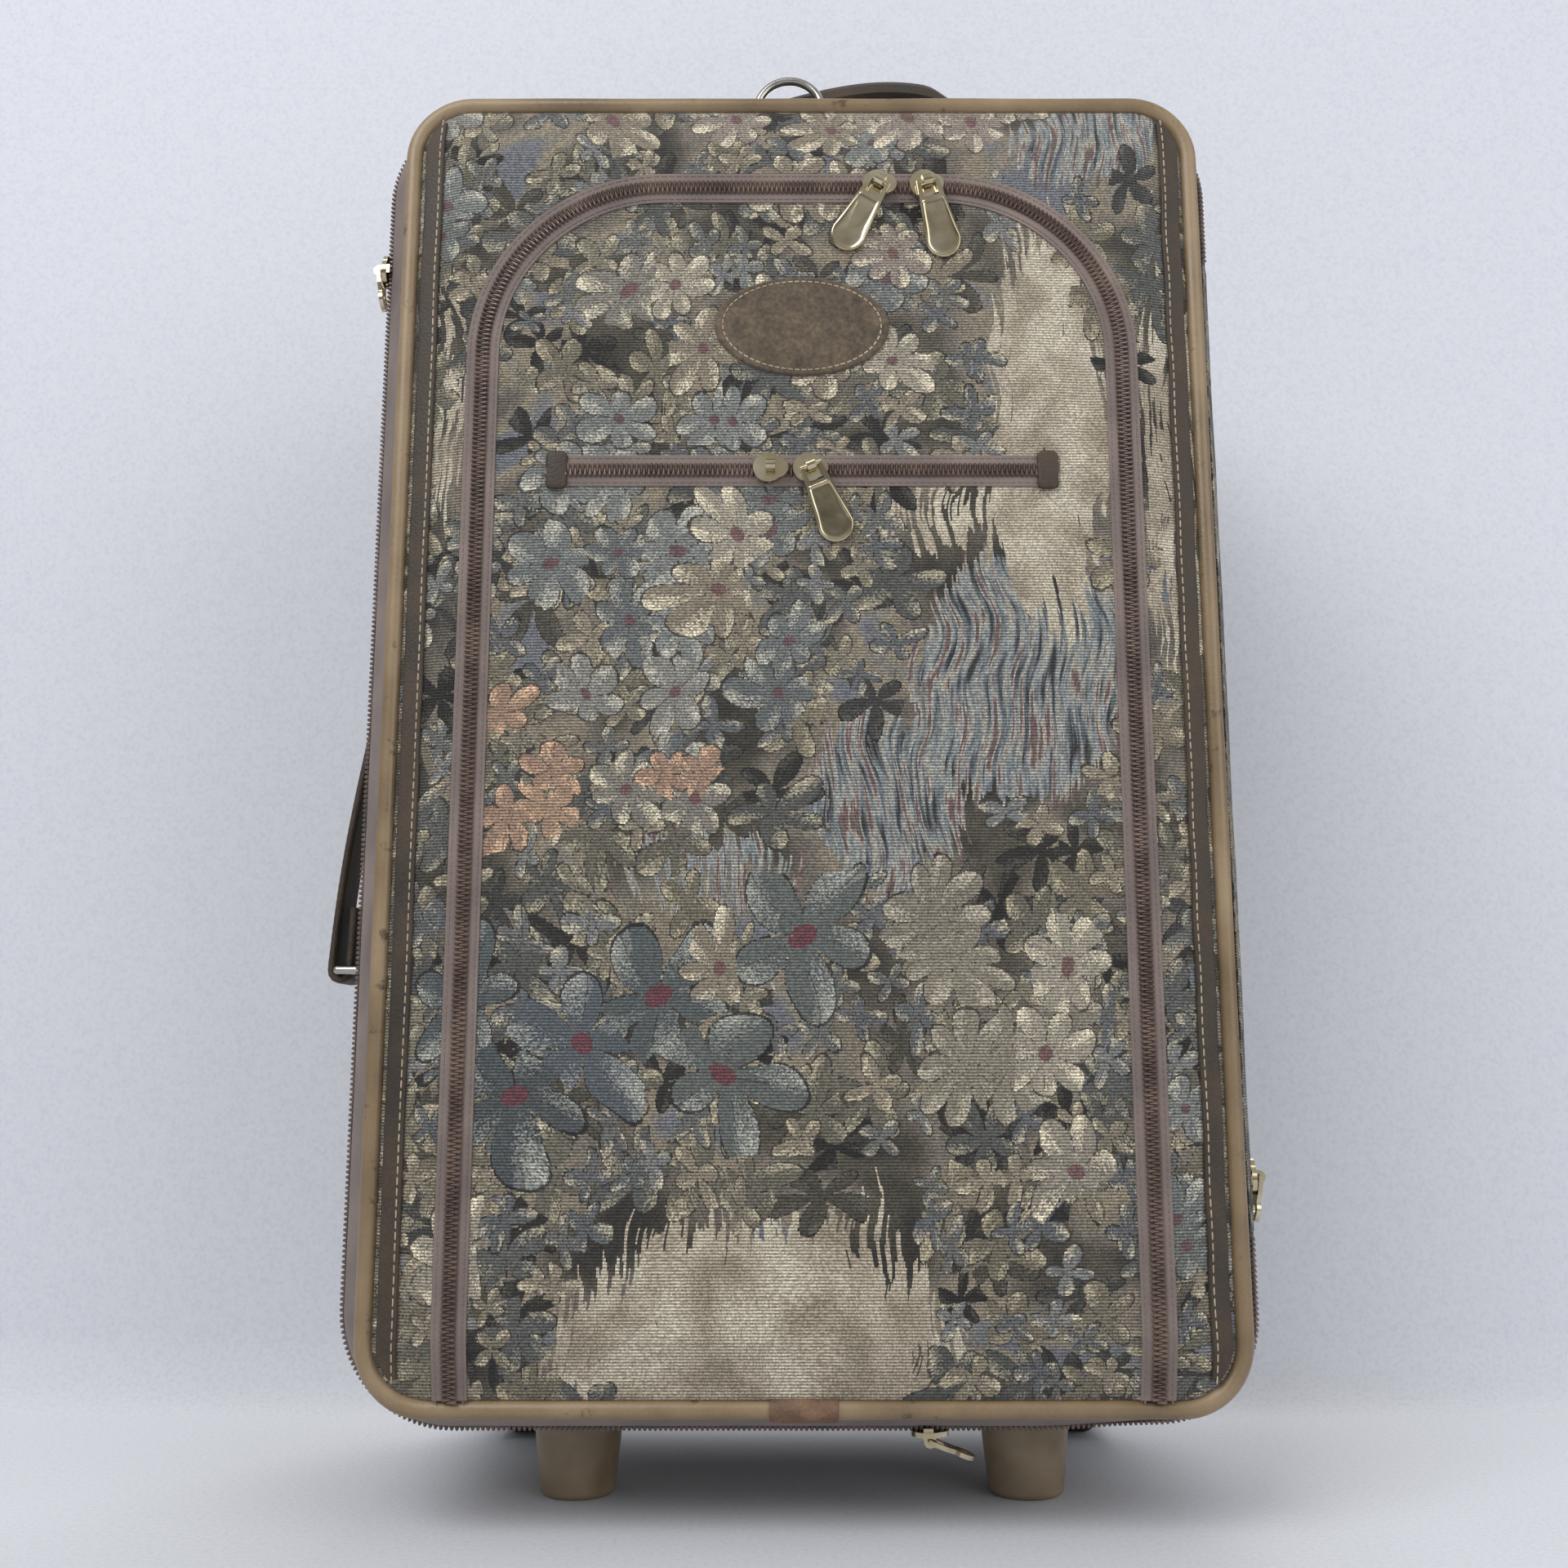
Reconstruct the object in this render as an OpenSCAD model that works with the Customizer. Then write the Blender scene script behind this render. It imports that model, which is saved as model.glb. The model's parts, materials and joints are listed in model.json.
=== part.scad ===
// Soft-sided rolling suitcase standing upright on two feet and two wheels.
// Drawn with x to the right across the front, y from the front piping to the back, z up from the floor.

/* [Front] */
// Width over the front piping
panel_w = 356; // [330:1:380]
// Height over the front piping
panel_h = 569; // [530:1:600]
// Corner radius over the front piping
panel_corner = 30; // [24:1:36]
// Diameter of the piping cord
piping_d = 8; // [6:0.5:10]
// How far the padded front stands proud of the piping
panel_rise = 6; // [4:0.5:8]
// Rounding of the padded front's edge
panel_round = 6; // [3:0.5:7]

/* [Case] */
// How far the case swells past the piping on the left
bulge_left = 9; // [6:1:18]
// How far the case swells past the piping on the right
bulge_right = 10; // [6:1:18]
// How far the case swells past the piping at the bottom
bulge_bottom = 6; // [5:1:18]
// How far the case swells past the piping at the top
bulge_top = 5; // [4:1:20]
// Corner radius of the case
case_corner = 46; // [36:1:52]
// Depth from the front piping to the rear piping
case_depth = 222; // [212:1:240]
// Thickness of the padded case wall
wall = 4; // [3:0.5:6]
// Thickness of the stiff boards in the lid and the back
board_t = 4; // [3:0.5:6]
// Depth of the lid from the front piping to its zip tape
lid_depth = 14; // [13:1:34]
// Height of the case above the floor
foot_h = 41; // [36:1:46]

/* [Zips] */
// Thickness of zip tape
tape_t = 0.8; // [0.6:0.1:1.2]
// Width of a zip coil
coil_w = 6; // [5:0.5:7]
// Height of a zip coil above its tape
coil_h = 1.6; // [1.2:0.1:2]
// Width of tape that shows on each side of a coil
tape_side = 4; // [3:0.25:5]
// Width of main zip tape that shows on each side of its coil
main_tape_side = 7; // [5:0.5:9]
// Distance of the U-shaped pocket zip's sides from the outside of the piping
pocket_side = 39.5; // [36:0.5:53]
// Distance of the pocket zip's top run below the top of the piping
pocket_drop = 50; // [40:1:70]
// Radius of the pocket zip's upper corners
pocket_corner = 78; // [60:1:84]
// Distance of the slip pocket zip's ends from the sides of the pocket zip
slip_in = 29.5; // [20:0.5:44]
// Distance of the slip pocket zip below the pocket zip's top run
slip_drop = 131.5; // [120:0.5:160]
// Length of the slip zip's leather end tabs
tab_l = 8; // [6:0.5:12]
// Height of the slip zip's leather end tabs
tab_h = 17; // [15:0.5:22]
// Distance from the main zip to the expansion zip, tape to tape
expansion_gap = 4; // [3:1:8]
// How far the zip turns the right-hand corners onto the hinge side
zip_turn = 30; // [15:1:60]

/* [Sliders and pulls] */
// Length of a slider
slider_l = 15; // [14:0.5:16]
// Width of a slider
slider_w = 13; // [12:0.5:14]
// Thickness of a slider's top plate
slider_t = 2; // [1.6:0.1:2.4]
// Radius of the bar that a pull turns on
bar_r = 1; // [0.8:0.05:1.2]
// Wall of the slider's eye round that bar
eye_wall = 1.5; // [1.2:0.1:1.8]
// Length of a long pull below its bar
pull_l = 35; // [30:1:40]
// Width of a long pull at its round end
pull_w = 15.5; // [13:0.5:17]
// Width of the window at a pull's top
window_w = 6.5; // [6:0.25:8]
// Length of the window at a pull's top
window_l = 7; // [6.5:0.25:9]
// Width of metal on each side of the window
rail_w = 1.5; // [1.2:0.1:2]
// Thickness of a pull
pull_t = 1.8; // [1.4:0.1:2.2]
// Length of a ring pull below its bar
ring_pull_l = 19; // [16:0.5:24]
// Outer diameter of a ring pull's ring
ring_d = 10; // [8:0.5:12]
// Hole in a ring pull's ring
ring_hole = 4.6; // [3:0.2:6]
// Distance between the two pocket sliders
pocket_slider_gap = 20.7; // [20:0.1:35]
// Distance of the right pocket slider from the end of the zip's straight top run
pocket_right_in = 5.5; // [2.5:0.1:6.5]
// Turn of the left pocket pull, towards the right
pocket_left_hang = -31; // [-45:1:0]
// Turn of the right pocket pull, towards the right
pocket_right_hang = 15; // [0:1:45]
// Place of the left slip pocket slider
slip_left_x = -13.5; // [-40:0.1:-13]
// Place of the right slip pocket slider
slip_right_x = 3.5; // [3:0.1:40]
// Turn of the slip pocket pull, towards the right
slip_hang = 23; // [0:1:45]
// Distance of the left main zip slider below the top of the piping
side_slider_drop = 74; // [70:1:150]
// Place of the bottom main zip slider across the front
bottom_slider_x = 51; // [20:1:60]
// Droop of the bottom slider's ring pull
bottom_droop = 20; // [10:1:40]
// Height of the expansion zip slider above the bottom piping
expansion_slider_z = 90; // [80:1:200]

/* [Trim] */
// Width of the long leather strips
strip_w = 10; // [8:0.5:12]
// Distance of their outer edge from the outside of the piping
strip_in = 6.5; // [5:0.5:9]
// Distance of their ends from the outside of the piping
strip_end = 13; // [12:1:30]
// Thickness of leather trim
leather_t = 1.6; // [1.2:0.1:2.2]
// Width of the oval patch
patch_w = 76; // [60:1:90]
// Height of the oval patch
patch_h = 46; // [36:1:56]
// Distance of the oval patch's middle below the pocket zip's top run
patch_drop = 66; // [64:1:74]
// Width of the leather wrap on the bottom piping
wrap_w = 27; // [20:1:36]

/* [Carry handles] */
// Distance of the top handle behind the front piping
top_handle_y = 82; // [82:1:110]
// Distance of the top handle's anchors from the sides of the case
top_handle_in = 72; // [64:1:90]
// Height of the top handle's arch over the case
top_handle_rise = 42; // [30:1:46]
// Width of the handle straps
strap_w = 26; // [22:1:30]
// Thickness of the handle straps
strap_t = 4; // [3:0.5:5]
// Half the length of the padded grip on the top handle
grip_half = 80; // [60:1:88]
// Thickness of padding round the strap in that grip
grip_pad = 4; // [3:0.5:6]
// Distance of the D-ring behind the front piping
ring_y = 60; // [58:1:62]
// Place of the D-ring across the front
ring_x = -5; // [-30:1:30]
// Inside width of the D-ring
ring_in = 28; // [24:1:32]
// Wire diameter of the D-ring and the side handle's loops
wire_d = 4; // [3:0.25:5]
// Height of the D-ring over the case
ring_rise = 44; // [38:1:48]
// Distance of the side handle behind the front piping
side_handle_y = 118; // [100:1:130]
// Distance of the side handle's upper loop below the top of the case
side_high_drop = 203; // [180:1:250]
// Distance between the side handle's loops
side_span = 190; // [160:1:220]
// How far the side handle's lower end stands out
side_reach = 38; // [30:1:44]

/* [Trolley handle] */
// Half the distance between the tubes
tube_half = 68; // [56:1:74]
// Outer radius of the fixed tubes
outer_tube_r = 8; // [7:0.25:9]
// Wall of all the tubes
tube_wall = 1.2; // [1:0.1:1.4]
// Depth of the grip's cup
cup_depth = 34; // [32:1:40]
// Wall of the cup
cup_wall = 2; // [1.6:0.2:3]
// Height of the grip
trolley_grip_h = 18; // [17:1:20]
// Depth of the grip from front to back
trolley_grip_d = 20; // [18:1:22]
// Space for the fingers round the grip
finger_gap = 6; // [5:0.5:8]
// Length of the release button
button_l = 34; // [28:1:44]
// Travel of the release button
button_travel = 3; // [2:0.5:3.5]
// Height of the inner tubes' lower end above the floor
inner_tube_z = 90; // [80:1:110]

/* [Wheels and feet] */
// Radius of a wheel over its tyre
wheel_r = 25; // [22:0.5:27]
// Width of a wheel
wheel_w = 22; // [18:0.5:24]
// Thickness of the tyre
tyre_t = 7; // [5:0.5:9]
// Radius of an axle
axle_r = 4; // [3:0.25:5]
// Thickness of the housing's wall round the wheel
housing_wall = 6; // [4:0.5:7]
// Distance of the wheels' middle from the sides of the case
wheel_in = 50; // [45:1:65]
// Distance from the axle to the outside of the rear piping
axle_in = 19; // [16:1:24]
// Distance of the feet's middle from the outside of the piping
foot_in = 80; // [74:1:98]
// Distance of the feet behind the front piping
foot_y = 85; // [84:1:95]
// Diameter of a foot at the case
foot_top_d = 41; // [34:1:44]
// Diameter of a foot at the floor
foot_low_d = 33; // [26:1:35]
// Rounding of a foot's lower edge
foot_round = 3; // [2:0.5:4]

/* [Clearances] */
// Gap between pieces that move past each other
run_gap = 0.3; // [0.3:0.05:0.4]
// Gap between sewn or fitted pieces
seam_gap = 0.3; // [0.1:0.05:0.4]
// Gap all round an axle
axle_gap = 0.1; // [0.05:0.01:0.15]

/* [Hidden] */
$fn = 48;

// Heights above the floor
case_z0 = foot_h;
panel_z0 = case_z0 + bulge_bottom;
panel_z1 = panel_z0 + panel_h;
case_z1 = panel_z1 + bulge_top;
panel_mid_z = (panel_z0 + panel_z1) / 2;
pocket_top_z = panel_z1 - pocket_drop;
slip_z = pocket_top_z - slip_drop;
patch_z = pocket_top_z - patch_drop;
side_slider_z = panel_z1 - side_slider_drop;
side_high_z = case_z1 - side_high_drop;
side_low_z = side_high_z - side_span;

// Sides of the case
case_x0 = -panel_w / 2 - bulge_left;
case_x1 = panel_w / 2 + bulge_right;
case_mid_x = (case_x0 + case_x1) / 2;
case_half = (case_x1 - case_x0) / 2;

// Places across the front, from its middle
pocket_half = panel_w / 2 - pocket_side;
slip_half = pocket_half - slip_in;
pocket_right_x = pocket_half - pocket_corner - pocket_right_in;
pocket_left_x = pocket_right_x - pocket_slider_gap;
top_handle_half = case_half - top_handle_in;
wheel_half = case_half - wheel_in;
foot_half = panel_w / 2 - foot_in;

// Planes from front to back
pad_overlap = 1;
pad_inset = piping_d - pad_overlap;
coil_y0 = lid_depth + main_tape_side;
case_y0 = coil_y0 + coil_w + main_tape_side;
main_coil_y = coil_y0 + coil_w / 2;
expansion_y0 = case_y0 + expansion_gap;
expansion_w = coil_w + 2 * tape_side;
expansion_coil_y = expansion_y0 + expansion_w / 2;
back_y = case_depth - piping_d;
board_y0 = back_y - board_t;
hair = 0.01;

// Trolley
inner_tube_r = outer_tube_r - tube_wall - run_gap;
cup_in_d = trolley_grip_d + 2 * finger_gap;
tube_y = board_y0 - seam_gap - cup_wall - cup_in_d / 2;
cup_half = tube_half + outer_tube_r + 2 * finger_gap;
cup_z0 = case_z1 - cup_depth;
cup_floor_z = cup_z0 + cup_wall;
cup_lip = 4;
grip_x = cup_half - finger_gap - cup_wall;
grip_z1 = case_z1 - 2;
grip_z0 = grip_z1 - trolley_grip_h;
socket_z = case_z0 + wall;
socket_h = 16;
socket_wall = 3;
lining_t = 2;

button_w = 12;
button_h = 8;
button_proud = 1;
button_z0 = grip_z1 + button_proud - button_h;
spring_h = button_travel + 2;
spring_r = 3;
spring_wire = 0.8;
spring_turns = 4;
pin_r = 2;

// Wheels and feet
axle_y = case_depth - axle_in;
axle_z = wheel_r;
wheel_room = 2;
housing_r = wheel_r + wheel_room + housing_wall;
slot_w = wheel_w + wheel_room;
housing_w = slot_w + 2 * housing_wall;
housing_proud = 3;
housing_back = case_depth + housing_proud;
housing_low = 10;
axle_head_r = axle_r + 2;
axle_head_t = 1.2;
screw_r = 2;
screw_head_r = 4;
screw_in = 3;
foot_wall = 7;

// The lining hangs in front of the trolley's cup and the wheel housings
lining_y = min(tube_y - cup_in_d / 2 - cup_wall, axle_y - housing_r) - seam_gap - lining_t;

// Sliders: heights above the cloth that the zip is sewn to
coil_top = tape_t + coil_h;
eye_r = bar_r + axle_gap + eye_wall;
plate_z = coil_top + run_gap;
eye_lift = 1.1;
bar_z = plate_z + slider_t + bar_r + axle_gap + eye_lift;
eye_w = window_w - 2.5;
pull_tilt = asin((bar_z - pull_t / 2 - run_gap) / pull_l);
// A ring pull lies along its zip, on the edge of its slider
ring_pull_tilt = asin((bar_z - plate_z - slider_t - pull_t / 2 - run_gap) / (slider_l / 2));
slider_reach = bar_z + eye_r;

// Handles
handle_sag_r = (pow(top_handle_half, 2) + pow(top_handle_rise, 2)) / (2 * top_handle_rise);
anchor_pad = 34;
anchor_t = 3;
loop_sleeve = wire_d / 2 + seam_gap + leather_t;
side_wall_x = case_x0 - anchor_t;
loop_out = side_reach - anchor_t - loop_sleeve - strap_t - wire_d / 2;

// The middle of everything, so that the part stands with its origin under its centre
mid_x = (case_x0 - side_reach + case_x1 + slider_reach) / 2;
mid_y = (axle_y + wheel_r - panel_rise - slider_reach) / 2;

// Common shapes

// Moves a piece from the drawing's axes to the part's origin
module placed() {
  translate([-mid_x, -mid_y, 0]) children();
}

// Extrudes an outline of the front view from y0 backwards
module slab(y0, depth) {
  translate([0, y0 + depth, 0]) rotate([90, 0, 0]) linear_extrude(depth) children();
}

module round_rect(x0, z0, x1, z1, r) {
  translate([x0 + r, z0]) square([x1 - x0 - 2 * r, z1 - z0]);
  translate([x0, z0 + r]) square([x1 - x0, z1 - z0 - 2 * r]);
  for (x = [x0 + r, x1 - r], z = [z0 + r, z1 - r]) translate([x, z]) circle(r);
}

module panel_outline(inset) {
  half = panel_w / 2 - inset;
  round_rect(-half, panel_z0 + inset, half, panel_z1 - inset, panel_corner - inset);
}

module case_outline(inset) {
  round_rect(case_x0 + inset, case_z0 + inset, case_x1 - inset, case_z1 - inset,
             case_corner - inset);
}

// A band of the case's outline between two insets
module case_band(y0, depth, outer, inner) {
  slab(y0, depth) difference() {
    case_outline(outer);
    case_outline(inner);
  }
}

// A loop of cord whose centre line is a rounded rectangle in the front view
module cord_loop(x0, z0, x1, z1, r, y) {
  for (x = [x0, x1]) translate([x, y, z0 + r]) cylinder(d = piping_d, h = z1 - z0 - 2 * r);
  for (z = [z0, z1]) translate([x0 + r, y, z]) rotate([0, 90, 0])
    cylinder(d = piping_d, h = x1 - x0 - 2 * r);
  corners = [[x1 - r, z1 - r], [x0 + r, z1 - r], [x0 + r, z0 + r], [x1 - r, z0 + r]];
  for (i = [0:3]) translate([corners[i][0], y, corners[i][1]]) rotate([90, 0, 0]) rotate([0, 0, 90 * i])
    rotate_extrude(angle = 90) translate([r, 0]) circle(d = piping_d);
}

// The right-hand side, where cloth hinges the lid and no zip runs
module hinge_zone() {
  low = case_z0 + case_corner + zip_turn;
  translate([case_x1 - wall, coil_y0 - 1, low])
    cube([2 * wall, case_y0 - coil_y0 + 2, case_z1 - case_corner - zip_turn - low]);
}

// The U-shaped run of the pocket zip, grown by half its width
module pocket_arch(grow) {
  half = pocket_half + grow;
  top = pocket_top_z + grow;
  r = pocket_corner + grow;
  low = panel_z0 + pad_inset + panel_round;
  translate([-half, low]) square([2 * half, top - r - low]);
  translate([-half + r, low]) square([2 * (half - r), top - low]);
  for (s = [-1, 1]) translate([s * (half - r), top - r]) circle(r);
}

module pocket_band(width) {
  difference() {
    pocket_arch(width / 2);
    pocket_arch(-width / 2);
  }
}

// Zip sliders lie in a plane of their own: x along the zip, z out of the cloth
module on_front(x, z) {
  translate([x, -panel_rise, z]) rotate([90, 0, 0]) children();
}
module on_left(y, z, proud) {
  translate([case_x0 - proud, y, z]) rotate([0, -90, 0]) children();
}
module on_right(y, z, proud) {
  translate([case_x1 + proud, y, z]) rotate([0, -90, 180]) children();
}
module on_bottom(x, y, proud) {
  translate([x, y, case_z0 - proud]) rotate([180, 0, 0]) children();
}

// A slider with its eye turned so that a pull hangs at the given angle
module slider(hang) {
  nose = slider_w * 0.7;
  flange_l = 4;
  flange_t = 1;
  flange_h = coil_h + slider_t;
  flange_z = tape_t + run_gap + flange_h / 2;
  difference() {
    union() {
      translate([0, 0, plate_z]) linear_extrude(slider_t) {
        translate([-slider_l / 2 + slider_w / 2, 0]) circle(d = slider_w);
        translate([slider_l / 2 - nose / 2, 0]) circle(d = nose);
        translate([-slider_l / 2 + slider_w / 2, -nose / 2])
          square([slider_l - slider_w / 2 - nose / 2, nose]);
      }
      for (s = [-1, 1])
        translate([-slider_l / 2 + slider_w / 2, s * (slider_w / 2 - flange_t), flange_z])
          cube([flange_l, flange_t, flange_h], center = true);
      rotate([0, 0, hang]) translate([-eye_w / 2, 0, bar_z]) rotate([0, 90, 0])
        cylinder(r = eye_r, h = eye_w);
    }
    rotate([0, 0, hang]) translate([-eye_w, 0, bar_z]) rotate([0, 90, 0])
      cylinder(r = bar_r + axle_gap, h = 2 * eye_w);
  }
}

// A pull on its bar; tilt lowers its free end towards the cloth
module hung(hang, tilt) {
  rotate([0, 0, hang]) translate([0, 0, bar_z]) rotate([tilt, 0, 0]) children();
}

module pull_bar() {
  translate([-window_w / 2 - rail_w, 0, 0]) rotate([0, 90, 0])
    cylinder(r = bar_r, h = window_w + 2 * rail_w);
}

module long_pull(hang) {
  top = window_w / 2 + rail_w;
  low = pull_l - pull_w / 2;
  hung(hang, pull_tilt) {
    translate([0, 0, -pull_t / 2]) linear_extrude(pull_t) difference() {
      union() {
        polygon([[-top, 0], [top, 0], [pull_w / 2, -low], [-pull_w / 2, -low]]);
        translate([0, -low]) circle(d = pull_w);
      }
      translate([-window_w / 2, -window_l]) square([window_w, window_l + 1]);
    }
    pull_bar();
  }
}

module ring_pull(hang, tilt) {
  top = window_w / 2 + rail_w;
  low = ring_pull_l - ring_d / 2;
  hung(hang, tilt) {
    translate([0, 0, -pull_t / 2]) linear_extrude(pull_t) difference() {
      union() {
        polygon([[-top, 0], [top, 0], [top, -window_l], [ring_d / 4, -low], [-ring_d / 4, -low],
                 [-top, -window_l]]);
        translate([0, -low]) circle(d = ring_d);
      }
      translate([-window_w / 2, -window_l + rail_w]) square([window_w, window_l]);
      translate([0, -low]) circle(d = ring_hole);
    }
    pull_bar();
  }
}

// The lid

// Section of the padded front: flat with rounded edges, across by depth
module pad_profile(half) {
  translate([-half, panel_round - panel_rise]) square([2 * half, piping_d]);
  translate([-half + panel_round, -panel_rise]) square([2 * (half - panel_round), piping_d]);
  for (s = [-1, 1]) translate([s * (half - panel_round), panel_round - panel_rise]) circle(panel_round);
}

module front_panel() color("#9a9480") placed() {
  intersection() {
    slab(-panel_rise, panel_rise) panel_outline(pad_inset);
    translate([0, 0, panel_z0]) linear_extrude(panel_h) pad_profile(panel_w / 2 - pad_inset);
    translate([0, 0, panel_mid_z]) rotate([0, -90, 0]) linear_extrude(panel_w, center = true)
      pad_profile(panel_h / 2 - pad_inset);
  }
  slab(0, piping_d) panel_outline(piping_d + seam_gap);
}

module lid_frame() color("#8a8472") placed() difference() {
  hull() {
    slab(piping_d, hair) panel_outline(pad_overlap);
    slab(lid_depth - hair, hair) case_outline(0);
  }
  hull() {
    slab(piping_d + board_t, hair) panel_outline(pad_overlap + wall);
    slab(lid_depth, hair) case_outline(wall);
  }
}

module lid_zip_tape() color("#82746c") placed()
  case_band(lid_depth, main_tape_side - run_gap, 0, 2 * tape_t);

module front_piping() color("#97825f") placed() {
  r = piping_d / 2;
  cord_loop(-panel_w / 2 + r, panel_z0 + r, panel_w / 2 - r, panel_z1 - r, panel_corner - r, r);
}

module piping_wrap() color("#5a4836") placed()
  translate([-wrap_w / 2, piping_d / 2, panel_z0 + piping_d / 2]) rotate([0, 90, 0]) difference() {
    cylinder(d = piping_d + 2 * leather_t, h = wrap_w);
    translate([0, 0, -1]) cylinder(d = piping_d + 2 * hair, h = wrap_w + 2);
    translate([-piping_d, piping_d / 2 - pad_overlap, -1]) cube([2 * piping_d, piping_d, wrap_w + 2]);
    translate([-piping_d - piping_d / 4, -piping_d, -1]) cube([piping_d, 2 * piping_d, wrap_w + 2]);
  }

module leather_strips() color("#544330") placed()
  for (s = [-1, 1]) {
    mid = s * (panel_w / 2 - strip_in - strip_w / 2);
    translate([mid - strip_w / 2, -panel_rise - leather_t, panel_z0 + strip_end])
      cube([strip_w, leather_t, panel_h - 2 * strip_end]);
  }

module oval_patch() color("#55483a") placed()
  translate([0, 0, patch_z]) slab(-panel_rise - leather_t, leather_t)
    scale([patch_w / patch_h, 1]) circle(d = patch_h);

module pocket_zip_tape() color("#82746c") placed()
  slab(-panel_rise - tape_t, tape_t) pocket_band(coil_w + 2 * tape_side);

module pocket_zip_coil() color("#4b3830") placed()
  slab(-panel_rise - coil_top, coil_h) pocket_band(coil_w);

module slip_zip_tape() color("#82746c") placed()
  translate([-slip_half, -panel_rise - tape_t, slip_z - coil_w / 2 - tape_side])
    cube([2 * slip_half, tape_t, coil_w + 2 * tape_side]);

module slip_zip_coil() color("#4b3830") placed()
  translate([-slip_half + tab_l, -panel_rise - coil_top, slip_z - coil_w / 2])
    cube([2 * (slip_half - tab_l), coil_h, coil_w]);

module slip_zip_tabs() color("#544330") placed()
  for (s = [-1, 1]) translate([s * (slip_half - tab_l / 2), 0, slip_z])
    slab(-panel_rise - tape_t - leather_t, leather_t) square([tab_l, tab_h], center = true);

module pocket_slider_left() color("#b39a68") placed()
  on_front(pocket_left_x, pocket_top_z) slider(pocket_left_hang);
module pocket_pull_left() color("#b39a68") placed()
  on_front(pocket_left_x, pocket_top_z) long_pull(pocket_left_hang);
module pocket_slider_right() color("#b39a68") placed()
  on_front(pocket_right_x, pocket_top_z) slider(pocket_right_hang);
module pocket_pull_right() color("#b39a68") placed()
  on_front(pocket_right_x, pocket_top_z) long_pull(pocket_right_hang);
module slip_slider_left() color("#b39a68") placed()
  on_front(slip_left_x, slip_z) slider(0);
module slip_slider_right() color("#b39a68") placed()
  on_front(slip_right_x, slip_z) slider(slip_hang);
module slip_pull() color("#b39a68") placed()
  on_front(slip_right_x, slip_z) long_pull(slip_hang);

// The case

module at_wheel(s) {
  translate([case_mid_x + s * wheel_half, axle_y, axle_z]) rotate([0, 90, 0]) children();
}

module wheel_places() {
  for (s = [-1, 1]) at_wheel(s) children();
}

// Room cut in the case for a wheel housing
module housing_room() {
  wheel_places() cylinder(r = housing_r + seam_gap, h = housing_w + 2 * seam_gap, center = true);
}

module cup_room() {
  cup_block(cup_wall + seam_gap, cup_z0 - seam_gap, cup_depth + wall);
}

module case_shell() color("#8a8472") placed() difference() {
  slab(case_y0, back_y - case_y0) case_outline(0);
  slab(case_y0 - 1, board_y0 - case_y0 + 1) case_outline(wall);
  housing_room();
  cup_room();
}

module inner_lining() color("#a59c8c") placed()
  slab(lining_y, lining_t) case_outline(wall + seam_gap);

module back_panel() color("#7e7868") placed() difference() {
  slab(back_y, piping_d) case_outline(piping_d + seam_gap);
  housing_room();
}

module rear_piping() color("#97825f") placed() difference() {
  r = piping_d / 2;
  cord_loop(case_x0 + r, case_z0 + r, case_x1 - r, case_z1 - r, case_corner - r, back_y + r);
  housing_room();
}

module main_zip_tape() color("#82746c") placed() difference() {
  case_band(coil_y0 + coil_w, main_tape_side, 0, 2 * tape_t);
  hinge_zone();
}

module main_zip_coil() color("#4b3830") placed() difference() {
  case_band(coil_y0, coil_w, -coil_h, coil_h);
  hinge_zone();
}

module hinge_strip() color("#8a8472") placed() intersection() {
  case_band(coil_y0, case_y0 - coil_y0, 0, 2 * tape_t);
  hinge_zone();
}

module expansion_tape() color("#82746c") placed()
  case_band(expansion_y0, expansion_w, -tape_t, 0);

module expansion_coil() color("#4b3830") placed()
  case_band(expansion_y0 + tape_side, coil_w, -coil_top, -tape_t);

// The main zip's tape lies flush with the cloth, not on it
main_proud = -tape_t;

module side_slider() color("#b39a68") placed()
  on_left(main_coil_y, side_slider_z, main_proud) slider(-90);
module side_pull() color("#b39a68") placed()
  on_left(main_coil_y, side_slider_z, main_proud) ring_pull(-90, ring_pull_tilt);
module bottom_slider() color("#b39a68") placed()
  on_bottom(bottom_slider_x, main_coil_y, main_proud) slider(90);
module bottom_pull() color("#b39a68") placed()
  on_bottom(bottom_slider_x, main_coil_y, main_proud) ring_pull(90, -bottom_droop);
module expansion_slider() color("#b39a68") placed()
  on_right(expansion_coil_y, panel_z0 + expansion_slider_z, 0) slider(-90);
module expansion_pull() color("#b39a68") placed()
  on_right(expansion_coil_y, panel_z0 + expansion_slider_z, 0) ring_pull(-90, ring_pull_tilt);

// Carry handles

// A slice of the handle's arch, by radius either side of its line and by its half length
module arch_slice(out, half, width) {
  translate([0, top_handle_y + width / 2, case_z1 + top_handle_rise - handle_sag_r]) rotate([90, 0, 0])
    linear_extrude(width) intersection() {
      difference() {
        circle(handle_sag_r + out, $fn = 160);
        circle(handle_sag_r - out, $fn = 160);
      }
      translate([-half, handle_sag_r - top_handle_rise + anchor_t]) square([2 * half, 2 * top_handle_rise]);
    }
}

module top_handle_strap() color("#544330") placed()
  arch_slice(strap_t / 2, top_handle_half + strap_t, strap_w);

module top_handle_grip() color("#4f3f2e") placed() difference() {
  arch_slice(strap_t / 2 + grip_pad, grip_half, strap_w + 2 * grip_pad);
  arch_slice(strap_t / 2 + hair, top_handle_half + strap_t, strap_w + 2 * hair);
}

module top_handle_anchors() color("#5a4836") placed()
  for (s = [-1, 1]) translate([s * top_handle_half, top_handle_y, case_z1 + anchor_t / 2])
    cube([anchor_pad, anchor_pad, anchor_t], center = true);

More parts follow.
